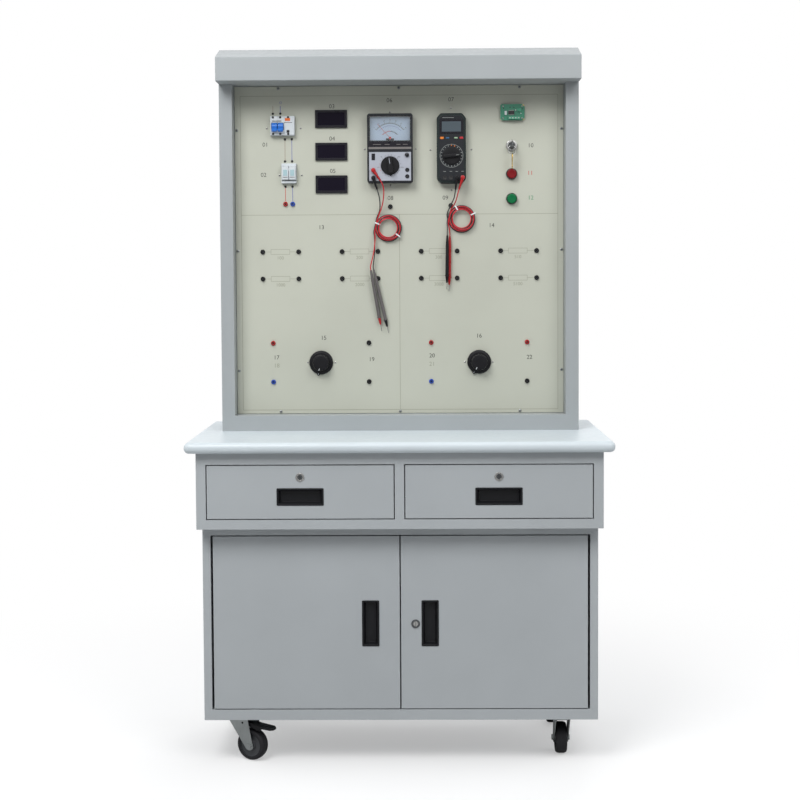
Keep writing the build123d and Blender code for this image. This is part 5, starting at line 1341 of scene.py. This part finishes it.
def makeAnalogTrim():
    look = trimLook
    x, z = analogMiddle.x, analogMiddle.z
    trim = bmesh.new()
    for size, (along, out, up), round, segments, paint in look["bars"]:
        put(trim, block(size, (x + along, analogFront - out, z + up), soften=round, segments=segments), paint)
    for start, long in look["dashes"]:
        place = (x + start + long / 2, analogFront - look["dashOut"], z + look["dashUp"])
        put(trim, block((long, *look["dash"]), place), 1)
    place = (x, cardFront - look["hoodOut"], z + look["hoodUp"])
    put(trim, block(look["hood"], place, soften=0.0016, segments=4), 0)
    left, out, down = look["testerPlace"]
    put(trim, block(look["tester"], (x - left, analogFront - out, z - down), soften=0.0004, segments=3), 0)
    # the four small holes are flat black discs: painted shade where the holes are dark
    (left, down), (across, up) = look["holeFrom"], look["holeStep"]
    for hole in range(4):
        place = (x - left + across * (hole % 2), analogFront - look["holeOut"], z - down + up * (hole // 2))
        put(trim, disc(place, *look["hole"], 12), 2)
    # each socket's bore is closed by a flat black disc: painted shade where the bore is dark
    for along, up in analogSockets:
        place = (x + along, analogFront, z + up)
        put(trim, lathe(look["socket"], place, steps=32), 0)
        put(trim, disc(place, *look["bore"], 24), 2)
    addPiece("analogTrim", trim, ["meterBlack", "meterBand", "chipBlack"], slot="dark_plastic")


rangeLook = {
    "down": 0.043, "out": 0.0001, "half": 171, "steps": 19, "tick": (0.025, 0.0274), "tickWide": 0.0007,
    "red": (3, 4, 5), "within": (0.03, 0.0345), "withinDown": 0.045,
    "values": ((4, "10"), (7, "50"), (12, "500"), (15, "1000")),
    "valueOut": (0.0305, 0.03), "valueTall": 0.0026,
    "signs": ((-0.0545, "+"), (-0.0735, "-")), "signLeft": 0.048, "signUp": 0.003, "signTall": 0.0036,
    "disc": [(0, 0), (0.0226, 0), (0.023, 0.0005), (0.0228, 0.003), (0.0218, 0.004), (0.015, 0.0042),
             (0, 0.0042)],
    "grip": (0.013, 0.0092, 0.04), "gripOut": 0.0084, "turn": -8,
    "mark": (0.0012, 0.0003, 0.014), "markReach": 0.0105, "markOut": 0.01305,
    "tail": (0.006, 0.0036, 0.006), "tailPlace": (0.001, 0.0019, 0.0222), "shaft": (0.004, 0.01),
}
zeroLook = {
    "place": (0.042, 0.017),
    "ribs": 16, "ribRadius": 0.005, "ribOut": 0.0016, "rib": (0.0007, 0.0026, 0.0006),
    "cap": [(0, 0), (0.0052, 0), (0.0052, 0.0028), (0.0047, 0.0038), (0.003, 0.004), (0, 0.004)],
    "mark": (0.0008, 0.0003, 0.003), "markOut": 0.004, "markUp": 0.0024, "shaft": (0.002, 0.008),
}


def makeAnalogMarks(centre, face):
    look = rangeLook
    x, z = analogMiddle.x, analogMiddle.z
    marks = bmesh.new()
    for step in range(look["steps"] + 1):
        angle = math.radians(-look["half"] + 2 * look["half"] * step / look["steps"])
        ends = [onCircle(centre, radius, angle) for radius in look["tick"]]
        tall = abs(ends[1][1] - z + look["withinDown"])
        if tall < look["within"][1] and abs(ends[1][0] - x) < look["within"][0]:
            ink = "redInk" if step in look["red"] else "blackInk"
            printLine(marks, *ends, look["tickWide"], ink, front=face)
    for step, value in look["values"]:
        angle = math.radians(-look["half"] + 2 * look["half"] * step / look["steps"])
        across, up = look["valueOut"]
        place = (centre[0] + across * math.sin(angle), centre[1] + up * math.cos(angle))
        printNumber(marks, value, place, look["valueTall"], "blackInk", front=face)
    for up, value in look["signs"]:
        place = (x - look["signLeft"], z + up + look["signUp"])
        printNumber(marks, value, place, look["signTall"], "blackInk", front=face)
    addPiece("analogMarks", marks, inks, slot="dark_plastic")


def makeRangeKnob(centre, top):
    look = rangeLook
    x, z = centre
    tilt = math.radians(look["turn"])
    knob = bmesh.new()
    put(knob, lathe(look["disc"], (x, top, z), steps=64), 0)
    put(knob, block(look["grip"], (x, top - look["gripOut"], z), tilt, 0.0022, 4), 0)
    markX, markZ = onCircle(centre, look["markReach"], tilt)
    put(knob, block(look["mark"], (markX, top - look["markOut"], markZ), tilt), 1)
    along, out, down = look["tailPlace"]
    put(knob, block(look["tail"], (x + along, top - out, z - down), math.pi / 4, 0.0006), 0)
    put(knob, disc((x, top, z), *look["shaft"], 24, axis=(0, 1, 0)), 0)
    node = "analog_range_knob"
    addPiece("analogRangeGrip", knob, ["blackPlastic", "meterPlate"], node, "black_plastic", (node,))


def makeZeroKnob(top):
    look = zeroLook
    along, down = look["place"]
    x, y, z = place = (analogMiddle.x + along, top, analogMiddle.z - down)
    knob = bmesh.new()
    put(knob, lathe(look["cap"], place, steps=32), 0)
    for rib in range(look["ribs"]):
        angle = rib * math.pi / 8
        ribX, ribZ = onCircle((x, z), look["ribRadius"], angle)
        put(knob, block(look["rib"], (ribX, y - look["ribOut"], ribZ), angle), 0)
    put(knob, block(look["mark"], (x, y - look["markOut"], z + look["markUp"])), 1)
    put(knob, disc(place, *look["shaft"], 16, axis=(0, 1, 0)), 0)
    node = "analog_zero_knob"
    addPiece("analogZeroGrip", knob, ["blackPlastic", "meterPlate"], node, "black_plastic", (node,))


def makeAnalogMeter():
    makeAnalogCase()
    makeAnalogScale()
    makeAnalogTrim()
    centre = (analogMiddle.x, analogMiddle.z - rangeLook["down"])
    face = analogFront - rangeLook["out"]
    makeAnalogMarks(centre, face)
    look = analogLook
    place = (analogWindow[0], analogFront + look["lensIn"], analogWindow[1])
    lens = block(look["lens"], place, soften=0.0003)
    addPiece("analogLens", lens, ["clearLens"], slot="clear_window", stands=("instrument_windows",))
    makeRangeKnob(centre, face - 0.0001)
    makeZeroKnob(face - 0.0001)
    soften("analog_needle", ["redInk"], "red_plastic", width=0.00012)


makeAnalogMeter()
print("analog meter made")


# Digital meter. Places are offsets from its middle, out to the front, or up.

digitalMiddle = (digitalLow + digitalHigh) / 2
digitalFront = digitalLow.y
digitalLook = {
    # slabs as cut from width and height, clipped corner, depth of the front, rounding, its steps, and paint
    "slabs": (
        (0, 0, 0.0095, 0.0105, 0.003, 0.0032, 5, 0), (0.0075, 0.0085, 0.0085, 0.0095, 0.001, 0.0016, 4, 0),
        (0.012, 0.013, 0.006, 0.007, 0, 0.0009, 3, 1),
    ),
    "ribs": 7, "rib": (0.0014, 0.011, 0.0028), "ribPlace": (0.0002, 0.014, 0.03), "ribStep": 0.007,
    "faceOut": 0.0003, "dialDown": 0.019, "keyFrame": (0.056, 0.0105, 0.0004, 0.0003), "keyUp": 0.031,
    "dialRing": (0.0226, 0.0292, 0.0007), "dialLine": (0.028, 0.0289, 0.0002), "dialLineOut": 0.0007,
    "ticks": 20, "tickRadius": 0.0254, "tickOut": 0.0008, "tick": (0.0014, 0.0003, 0.0032),
    "sockets": (-0.017, -0.0015, 0.013, 0.0275), "socketDown": 0.073,
    "socket": [(0.0056, 0), (0.0056, 0.0008), (0.005, 0.0013), (0.0034, 0.0013), (0.0028, 0.0009),
               (0.0026, 0)],
    "bore": (0.0029, 0.0003), "label": (0.0062, 0.0003, 0.0012), "labelDown": 0.0575,
    "title": (0.028, 0.0003, 0.0011), "titlePlace": (0.008, 0.0748), "keyTall": (0.0058, 0.004),
    "screenUp": 0.053, "screenRim": (0.058, 0.035, 0.0022, 0.0012), "glass": (0.0545, 0.0008, 0.0315),
    "glassOut": 0.0002, "display": (0.047, 0.0003, 0.025), "displayOut": 0.0006,
}
dialLook = {
    "disc": [(0, 0), (0.0216, 0), (0.022, 0.0006), (0.0216, 0.0024), (0.0206, 0.0031), (0.012, 0.003),
             (0, 0.0029)],
    "turn": 84, "grip": (0.0096, 0.0082, 0.0404), "gripOut": 0.0069,
    "mark": (0.001, 0.0003, 0.008), "markReach": 0.015, "markOut": 0.01095,
    "ribs": 36, "ribRadius": 0.0217, "ribOut": 0.0014, "rib": (0.0012, 0.0016, 0.0006),
    "shaft": (0.004, 0.01),
}


def ringPlate(place, inner, outer, thick):
    # a flat ring that faces the front
    return lathe([(inner, 0), (inner, thick), (outer, thick), (outer, 0), (inner, 0)], place, steps=64)


def makeHolster():
    look = digitalLook
    x, z = digitalMiddle.x, digitalMiddle.z
    wide, tall = digitalHigh.x - digitalLow.x, digitalHigh.z - digitalLow.z
    case = bmesh.new()
    for lessWide, lessTall, cutAcross, cutUp, inward, round, segments, paint in look["slabs"]:
        outline = clippedBox(x, z, wide - lessWide, tall - lessTall, cutAcross, cutUp)
        put(case, slab(outline, panelFront, digitalFront + inward, round, segments), paint)
    inset, depth, down = look["ribPlace"]
    for side in (-1, 1):
        for rib in range(look["ribs"]):
            at = (x + side * (wide / 2 - inset), digitalFront + depth, z - down + rib * look["ribStep"])
            put(case, block(look["rib"], at, soften=0.0006), 0)
    if digitalHigh.y > panelFront + 0.0005:
        put(case, behindPanel((wide * 0.5, tall * 0.5), (x, z), digitalHigh.y), 1)
    addPiece("digitalHolster", case, ["holster", "meterCase"], slot="holster_rubber", stands=("dmm_case",))


def makeDigitalFace(centre, face):
    look = digitalLook
    x, z = digitalMiddle.x, digitalMiddle.z
    inset = bmesh.new()
    put(inset, mitredRim(*look["keyFrame"], (x, digitalFront, z + look["keyUp"]), 0.0001), 0)
    put(inset, ringPlate((x, digitalFront, centre[1]), *look["dialRing"]), 0)
    put(inset, ringPlate((x, digitalFront - look["dialLineOut"], centre[1]), *look["dialLine"]), 1)
    for step in range(look["ticks"]):
        angle = step * math.pi / 10
        tickX, tickZ = onCircle(centre, look["tickRadius"], angle)
        at = (tickX, digitalFront - look["tickOut"], tickZ)
        put(inset, block(look["tick"], at, angle), 3 if step in (0, 1) else 1)
    # each socket's bore is closed by a flat black disc: painted shade where the bore is dark
    for along in look["sockets"]:
        place = (x + along, digitalFront, z - look["socketDown"])
        put(inset, lathe(look["socket"], place, steps=32), 2)
        put(inset, disc(place, *look["bore"], 24), 2)
        put(inset, block(look["label"], (x + along, face, z - look["labelDown"])), 1)
    left, up = look["titlePlace"]
    put(inset, block(look["title"], (x - left, face, z + up)), 1)
    paintNames = ["meterCase", "dialRing", "chipBlack", "keyOrange"]
    addPiece("digitalFace", inset, paintNames, slot="holster_rubber")


def makeDigitalKeys():
    outerTall, innerTall = digitalLook["keyTall"]
    keys = bmesh.new()
    for number, box in enumerate(islandBoxes("dmm_keys")):
        size = (box[1].x - box[0].x, box[1].y - box[0].y, outerTall if number in (0, 3) else innerTall)
        put(keys, block(size, centreOf(box), soften=0.0014, segments=4), number)
    addPiece("digitalKeys", keys, list(keyColours), slot="key_rubber", stands=("dmm_keys",))


def makeDisplay():
    look = digitalLook
    x, z = digitalMiddle.x, digitalMiddle.z + look["screenUp"]
    glass = bmesh.new()
    put(glass, mitredRim(*look["screenRim"], (x, digitalFront, z), 0.0004), 0)
    put(glass, block(look["glass"], (x, digitalFront - look["glassOut"], z)), 0)
    put(glass, block(look["display"], (x, digitalFront - look["displayOut"], z)), 1)
    stands = ("instrument_windows",)
    addPiece("digitalDisplay", glass, ["meterBlack", "displayGrey"], slot="clear_window", stands=stands)


def makeDial(centre, base):
    look = dialLook
    x, z = centre
    turn = math.radians(look["turn"])
    knob = bmesh.new()
    put(knob, lathe(look["disc"], (x, base, z), steps=64), 0)
    put(knob, block(look["grip"], (x, base - look["gripOut"], z), turn, 0.0026, 5), 0)
    markX, markZ = onCircle(centre, look["markReach"], turn)
    put(knob, block(look["mark"], (markX, base - look["markOut"], markZ), turn), 1)
    for rib in range(look["ribs"]):
        angle = rib * math.pi / 18
        ribX, ribZ = onCircle(centre, look["ribRadius"], angle)
        put(knob, block(look["rib"], (ribX, base - look["ribOut"], ribZ), angle), 0)
    put(knob, disc((x, base, z), *look["shaft"], 24, axis=(0, 1, 0)), 0)
    node = "dmm_dial"
    addPiece("digitalDialGrip", knob, ["blackPlastic", "dialRing"], node, "black_plastic", (node,))


def makeDigitalMeter():
    centre = (digitalMiddle.x, digitalMiddle.z - digitalLook["dialDown"])
    face = digitalFront - digitalLook["faceOut"]
    makeHolster()
    makeDigitalFace(centre, face)
    makeDigitalKeys()
    makeDisplay()
    makeDial(centre, face)


makeDigitalMeter()
print("digital meter made")


# Breaker and fuses

breakerLook = {
    "up": 1.538,
    # marks as size along and up, offset along and up, and paint
    "marks": (
        (0.013, 0.007, 0.013, 0.015, 0), (0.02, 0.0012, 0.0145, 0.0075, 1),
        (0.024, 0.0012, -0.014, 0.012, 1), (0.024, 0.0012, -0.014, 0.0095, 1),
    ),
    "markThick": 0.0003, "markOut": 0.0001, "holes": (-0.0232, -0.0052, 0.0145), "holeUp": 0.0205,
    "hole": (0.003, 0.0002), "pivot": (0.004, 0.002), "gap": 0.0008, "drum": (0.0091, 0.0095, 0.0004),
    "arm": (0.0006, 0.0134, 0.0054), "armRound": 0.0012, "armOut": 0.0115, "armTilt": 42,
    "bar": (0.006, 0.003, 0.003), "barPlace": (0.009, 0.0081),
}


def makeBreaker():
    look = breakerLook
    low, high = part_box("breaker_body")
    x, z, front = (low.x + high.x) / 2, look["up"], low.y
    soften("breaker_body", ["breakerWhite"], "white_plastic", 0.0005, 3)
    marks = bmesh.new()
    for wide, tall, along, up, paint in look["marks"]:
        place = (x + along, front - look["markOut"], z + up)
        put(marks, block((wide, look["markThick"], tall), place), paint)
    # the holes at the breaker's top and bottom are flat black discs: painted shade where the holes are dark
    for along in look["holes"]:
        for up in (-look["holeUp"], look["holeUp"]):
            put(marks, disc((x + along, front, z + up), *look["hole"], 24), 2)
    addPiece("breakerMarks", marks, ["orangePrint", "blackInk", "chipBlack"], slot="white_plastic")
    low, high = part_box("breaker_toggle")
    middle = (low.x + high.x) / 2
    pivotY, pivotZ = front + look["pivot"][0], z - look["pivot"][1]
    half = (high.x - low.x) / 4 - look["gap"]
    inner, outer, step = look["drum"]
    profile = [(0, -half), (inner, -half), (outer, step - half)]
    profile += [(radius, -out) for radius, out in reversed(profile)]
    lever = bmesh.new()
    for side in (-1, 1):
        at = middle + side * (half + look["gap"])
        put(lever, lathe(profile, (at, pivotY, pivotZ), axis=(1, 0, 0), steps=48), 0)
        less, long, thick = look["arm"]
        arm = block((half * 2 - less, long, thick), (0, 0, 0), soften=look["armRound"], segments=3)
        swing = Matrix.Rotation(math.radians(look["armTilt"]), 4, "X")
        reach = Matrix.Translation((0, -look["armOut"], 0))
        matrix = Matrix.Translation((at, pivotY, pivotZ)) @ swing @ reach
        bmesh.ops.transform(arm, matrix=matrix, verts=arm.verts)
        put(lever, arm, 0)
    out, down = look["barPlace"]
    put(lever, block(look["bar"], (middle, pivotY - out, pivotZ - down)), 0)
    node = "breaker_toggle"
    addPiece("breakerToggles", lever, ["toggleBlue"], node, "toggle_plastic", (node,))
    soften("breaker_test_button", ["chipBlack"], "orange_plastic", 0.0004, 3)


fuseLook = {"window": (0.01, 0.0008, 0.015), "windowPlace": (0.0001, 0.018),
            "line": (0.0125, 0.0011, 0.0009), "linePlace": (0.0003, 0.007)}


def makeFuses():
    look = fuseLook
    soften("fuse_base", ["breakerWhite"], "white_plastic", 0.0005, 3)
    soften("fuse_carriers", ["breakerWhite"], "white_plastic", 0.0006, 3)
    low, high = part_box("fuse_carriers")
    glass = bmesh.new()
    for side in (-1, 1):
        x = (low.x + high.x) / 2 + side * (high.x - low.x) / 4
        for name, round, paint in (("window", 0.0003, 0), ("line", 0.0002, 1)):
            out, up = look[name + "Place"]
            put(glass, block(look[name], (x, low.y - out, low.z + up), soften=round), paint)
    addPiece("fuseWindows", glass, ["fuseWindow", "blackInk"], "fuse_carriers", "white_plastic")


makeBreaker()
makeFuses()


# Circuit board

circuitLook = {
    "standoff": 0.006, "thick": 0.0016,
    "outline": [(-0.03, -0.016), (-0.0255, -0.02), (0.024, -0.02), (0.03, -0.014),
                (0.03, 0.013), (0.023, 0.02), (-0.027, 0.02), (-0.03, 0.017)],
    # parts as offset along and up, width, height, depth, and paint
    "parts": (
        (-0.003, -0.001, 0.015, 0.0085, 0.0032, 1), (-0.017, -0.002, 0.005, 0.0095, 0.0034, 2),
        (0.016, 0.005, 0.01, 0.007, 0.0038, 3), (0.004, -0.0145, 0.029, 0.0065, 0.0068, 3),
        (0.021, -0.003, 0.003, 0.0018, 0.0008, 2), (-0.006, 0.012, 0.0034, 0.0018, 0.0008, 1),
        (0.003, 0.012, 0.0034, 0.0018, 0.0008, 1), (-0.022, 0.01, 0.002, 0.0036, 0.001, 1),
        (0.008, 0.005, 0.0018, 0.0034, 0.0008, 2), (0.025, 0.009, 0.0016, 0.003, 0.0008, 1),
    ),
    "pins": 8, "pin": (0.0006, 0.0016, 0.0022), "pinStep": 0.0018, "firstPin": (0.003, 0.0063),
    "pinRows": (0.001, 0.005), "clamps": 4, "clamp": (0.0017, 0.0003), "firstClamp": (0.007, 0.0145),
    "clampStep": 0.0073, "clampOut": 0.0068, "pillars": (0.026, 0.016), "pillar": 0.003,
}


def makeCircuitBoard():
    look = circuitLook
    low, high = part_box("circuit_module")
    x, z = (low.x + high.x) / 2, (low.z + high.z) / 2
    board = bmesh.new()
    back = panelFront - look["standoff"]
    corners = [board.verts.new((x + a, back, z + b)) for a, b in look["outline"]]
    thicken(board, [board.faces.new(corners)], -look["thick"])
    front = back - look["thick"]
    for a, b, wide, tall, out, paint in look["parts"]:
        put(board, block((wide, out, tall), (x + a, front - out / 2, z + b), soften=0.0003), paint)
    (chip, first), (chipDown, rowUp) = look["firstPin"], look["pinRows"]
    for pin in range(look["pins"]):
        along = x - chip - first + pin * look["pinStep"]
        for row in (-1, 1):
            at = (along, front - look["pin"][1] / 2, z - chipDown + row * rowUp)
            put(board, block(look["pin"], at), 4)
    left, down = look["firstClamp"]
    for clamp in range(look["clamps"]):
        place = (x - left + clamp * look["clampStep"], front - look["clampOut"], z - down)
        put(board, disc(place, *look["clamp"], 16), 4)
    across, up = look["pillars"]
    for a in (-across, across):
        for b in (-up, up):
            put(board, disc((x + a, panelFront, z + b), look["pillar"], look["standoff"], 6), 5)
            screwHead(board, (x + a * 0.9, front, z + b * 0.94), "circuit", a * 40, head=4)
    paintNames = ["boardGreen", "chipBlack", "whiteInk", "terminalGreen", "brightSteel", "brass"]
    addPiece("circuitBoard", board, paintNames, slot="green_board", stands=("circuit_module",))


makeCircuitBoard()


# Switches, buttons and keys

switchLook = {
    "keyAbove": 1.45, "bodyDeep": 0.03,
    # bore, depth of its floor and of the bezel's inside, and paint
    "key": (0.0083, -0.006, -0.007, 0), "button": (0.0123, -0.0001, -0.0004, 1),
    "outside": [(0.0128, 0.007), (0.0136, 0.0064), (0.014, 0.0052), (0.014, 0), (0.011, 0),
                (0.011, -0.025), (0, -0.025)],
}
buttons = (("stop_button", "stopButtonCap", "buttonRed", "red_plastic"),
           ("start_button", "startButtonCap", "greenPlastic", "green_plastic"))


def makeSwitches():
    look = switchLook
    bezels = bmesh.new()
    for low, high in islandBoxes("switch_bezels"):
        x, z = (low.x + high.x) / 2, (low.z + high.z) / 2
        bore, floor, inside, paint = look["key" if z > look["keyAbove"] else "button"]
        profile = [(bore, floor), (bore, 0.0064), (bore + 0.0006, 0.007), *look["outside"]]
        profile += [(0, inside), (bore, inside)]
        put(bezels, lathe(profile, (x, panelFront, z), steps=56), paint)
        deep, wide = look["bodyDeep"], high.x - low.x
        put(bezels, block((wide, deep, wide), (x, high.y - deep / 2, z), soften=0.0012), 2)
    paintNames = ["brightSteel", "darkSteel", "blackPlastic"]
    addPiece("switchBodies", bezels, paintNames, slot="bright_steel", stands=("switch_bezels",))
    for node, name, paint, slot in buttons:
        low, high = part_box(node)
        deep = high.y - low.y
        profile = [
            (0, 0), (0.0119, 0), (0.012, 0.0003), (0.012, deep - 0.0022), (0.0117, deep - 0.0012),
            (0.0106, deep - 0.0004), (0.009, deep), (0.006, deep - 0.0004), (0, deep - 0.0007),
        ]
        cap = lathe(profile, ((low.x + high.x) / 2, high.y, (low.z + high.z) / 2), steps=56)
        addPiece(name, cap, [paint], node, slot, (node,))


ringLook = {"inset": 0.0009, "wire": 0.00085, "round": 0.0003, "sides": 12}


def makeKeys():
    # the spare key keeps its mesh, and its ring is made anew
    look = ringLook
    soften("switch_key", ["darkSteel"], "bright_steel", 0.0004, 3)
    spare = mergedNode("spare_key")
    low, high = max(islandBoxes("spare_key"), key=lambda box: box[1].z)
    ringFaces = [
        face for face in spare.faces
        if low.y - 1e-4 < face.calc_center_median().y < high.y + 1e-4
        and face.calc_center_median().z > low.z - 1e-4
        and all(low.y - 2e-5 <= vert.co.y <= high.y + 2e-5 for vert in face.verts)
    ]
    bmesh.ops.delete(spare, geom=ringFaces, context="FACES")
    dissolveFlat(spare)
    roundEdges(spare, hardEdges(spare), look["round"], 2)
    radius, wire = (high.x - low.x) / 2 - look["inset"], look["wire"]
    turns = [side * math.pi / 6 for side in range(look["sides"] + 1)]
    profile = [(radius + wire * math.cos(turn), wire * math.sin(turn)) for turn in turns]
    put(spare, lathe(profile, (low + high) / 2, steps=56), 1)
    addPiece("spareKeySet", spare, ["brass", "brightSteel"], "spare_key", "brass", ("spare_key",))


makeSwitches()
makeKeys()
print("switches and keys made")


# Regulator knobs

regulatorLook = {
    "up": 0.948, "out": 0.0003, "sides": (("left", -0.198, 193.5), ("right", 0.198, 207.0)),
    "skirt": [(0, 0), (0.029, 0), (0.0299, 0.0006), (0.0299, 0.003), (0.029, 0.0046), (0.025, 0.0057),
              (0.0226, 0.006), (0, 0.006)],
    "grip": [(0, 0.0058), (0.0212, 0.0058), (0.0206, 0.021), (0.0196, 0.0232), (0.0176, 0.024),
             (0.008, 0.0238), (0, 0.0236)],
    "pointer": (0.0345, 0.027, 0.0078, 0.0045), "flutes": 16, "fluteDeep": 0.0011, "fluteFrom": 0.0185,
    # marks as size, distance along the pointer, and distance out
    "marks": (((0.0014, 0.0004, 0.0056), 0.0165, 0.0238), ((0.0012, 0.0004, 0.006), 0.0285, 0.0047)),
    "shaft": 0.004, "arm": (0.012, 0.003, 0.06), "armAlong": 0.022, "armRound": 0.0008,
}


def cutFlutes(grip, middle, angle):
    look = regulatorLook
    for vert in grip.verts:
        away = Vector((vert.co.x - middle.x, 0, vert.co.z - middle.z))
        if away.length > look["fluteFrom"] and vert.co.y < middle.y - look["grip"][0][1]:
            place = math.atan2(away.x, away.z) - angle
            flute = 0.5 + 0.5 * math.cos(look["flutes"] * place)
            vert.co -= away.normalized() * look["fluteDeep"] * flute ** 2


def makeRegulators():
    look = regulatorLook
    face = panelFront - look["out"]
    for side, x, turn in look["sides"]:
        node = "regulator_knob_" + side
        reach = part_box(node)[1].y - face
        angle = math.radians(turn)
        along = Vector((math.sin(angle), 0, math.cos(angle)))
        across = Vector((along.z, 0, -along.x))
        place = (x, face, look["up"])
        middle = Vector(place)
        knob = bmesh.new()
        put(knob, lathe(look["skirt"], place, steps=72), 0)
        tip, foot, half, thick = look["pointer"]
        steps = (along * tip, along * foot + across * half, along * foot - across * half)
        pointer = bmesh.new()
        thicken(pointer, [pointer.faces.new([pointer.verts.new(middle + step) for step in steps])], -thick)
        put(knob, pointer, 0)
        grip = lathe(look["grip"], place, steps=96)
        cutFlutes(grip, Vector((x, face, look["up"])), angle)
        put(knob, grip, 0)
        for size, further, out in look["marks"]:
            put(knob, block(size, middle + along * further + Vector((0, -out, 0)), angle), 1)
        put(knob, disc(place, look["shaft"], reach, 32, axis=(0, 1, 0)), 2)
        brush = middle + along * look["armAlong"] + Vector((0, reach - look["arm"][1] / 2, 0))
        put(knob, block(look["arm"], brush, angle, look["armRound"]), 2)
        paintNames = ["blackPlastic", "whiteInk", "brightSteel"]
        addPiece("regulatorKnob" + side.title(), knob, paintNames, node, "black_plastic", (node,))


makeRegulators()


# Casters

casterLook = {
    "half": 0.0135, "hub": 0.0268, "rimIn": 0.008,
    # one side's profile from the bore outwards, as (radius, inset from the widest plane)
    "side": [(0.0041, 0.0006), (0.012, 0.0006), (0.0128, 0.0012), (0.0134, 0.0046), (0.015, 0.005),
             (0.0245, 0.005), (0.0262, 0.0044), (0.0272, 0.0008), (0.0285, 0), (0.033, 0), (0.035, 0.001),
             (0.0366, 0.0036)],
    # which wheel, and how far it is turned, in degrees
    "wheels": (("front_left", -25), ("front_right", 90), ("back_left", 90), ("back_right", 90)),
}


def makeWheel(node, name, degrees):
    low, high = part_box(node)
    middle = (low + high) / 2
    turn = math.radians(degrees)
    axle = Vector((-math.sin(turn), math.cos(turn), 0))
    half, rim = casterLook["half"], middle.z  # a wheel's radius is its middle's height
    side = [(radius, half - inset) for radius, inset in casterLook["side"]]
    side.append((rim, half - casterLook["rimIn"]))
    whole = side + [(radius, -out) for radius, out in reversed(side)] + [side[0]]
    bm = bmesh.new()
    put(bm, lathe(whole, middle, axis=axle, steps=72), 0)
    for face in bm.faces:
        away = face.calc_center_median() - middle
        away -= axle * away.dot(axle)
        if away.length < casterLook["hub"]:
            face.material_index = 1
    addPiece(name, bm, ["wheelRubber", "hubGrey"], node, "wheel_rubber", (node,))


def makeCasters():
    for place, degrees in casterLook["wheels"]:
        name = "casterWheel" + place.title().replace("_", "")
        makeWheel("caster_wheel_" + place, name, degrees)
    for side in ("left", "right"):
        soften("caster_fork_" + side, ["zincSteel"], "zinc_steel", 0.0005, 3)
        soften("caster_brake_" + side, ["blackPlastic"], "black_plastic", 0.0009, 3)
    soften("caster_plates", ["zincSteel"], "zinc_steel", 0.0004)
    soften("autotransformers", ["copperWinding"], "winding", 0.0015, 3)


makeCasters()
print("knobs and casters made")
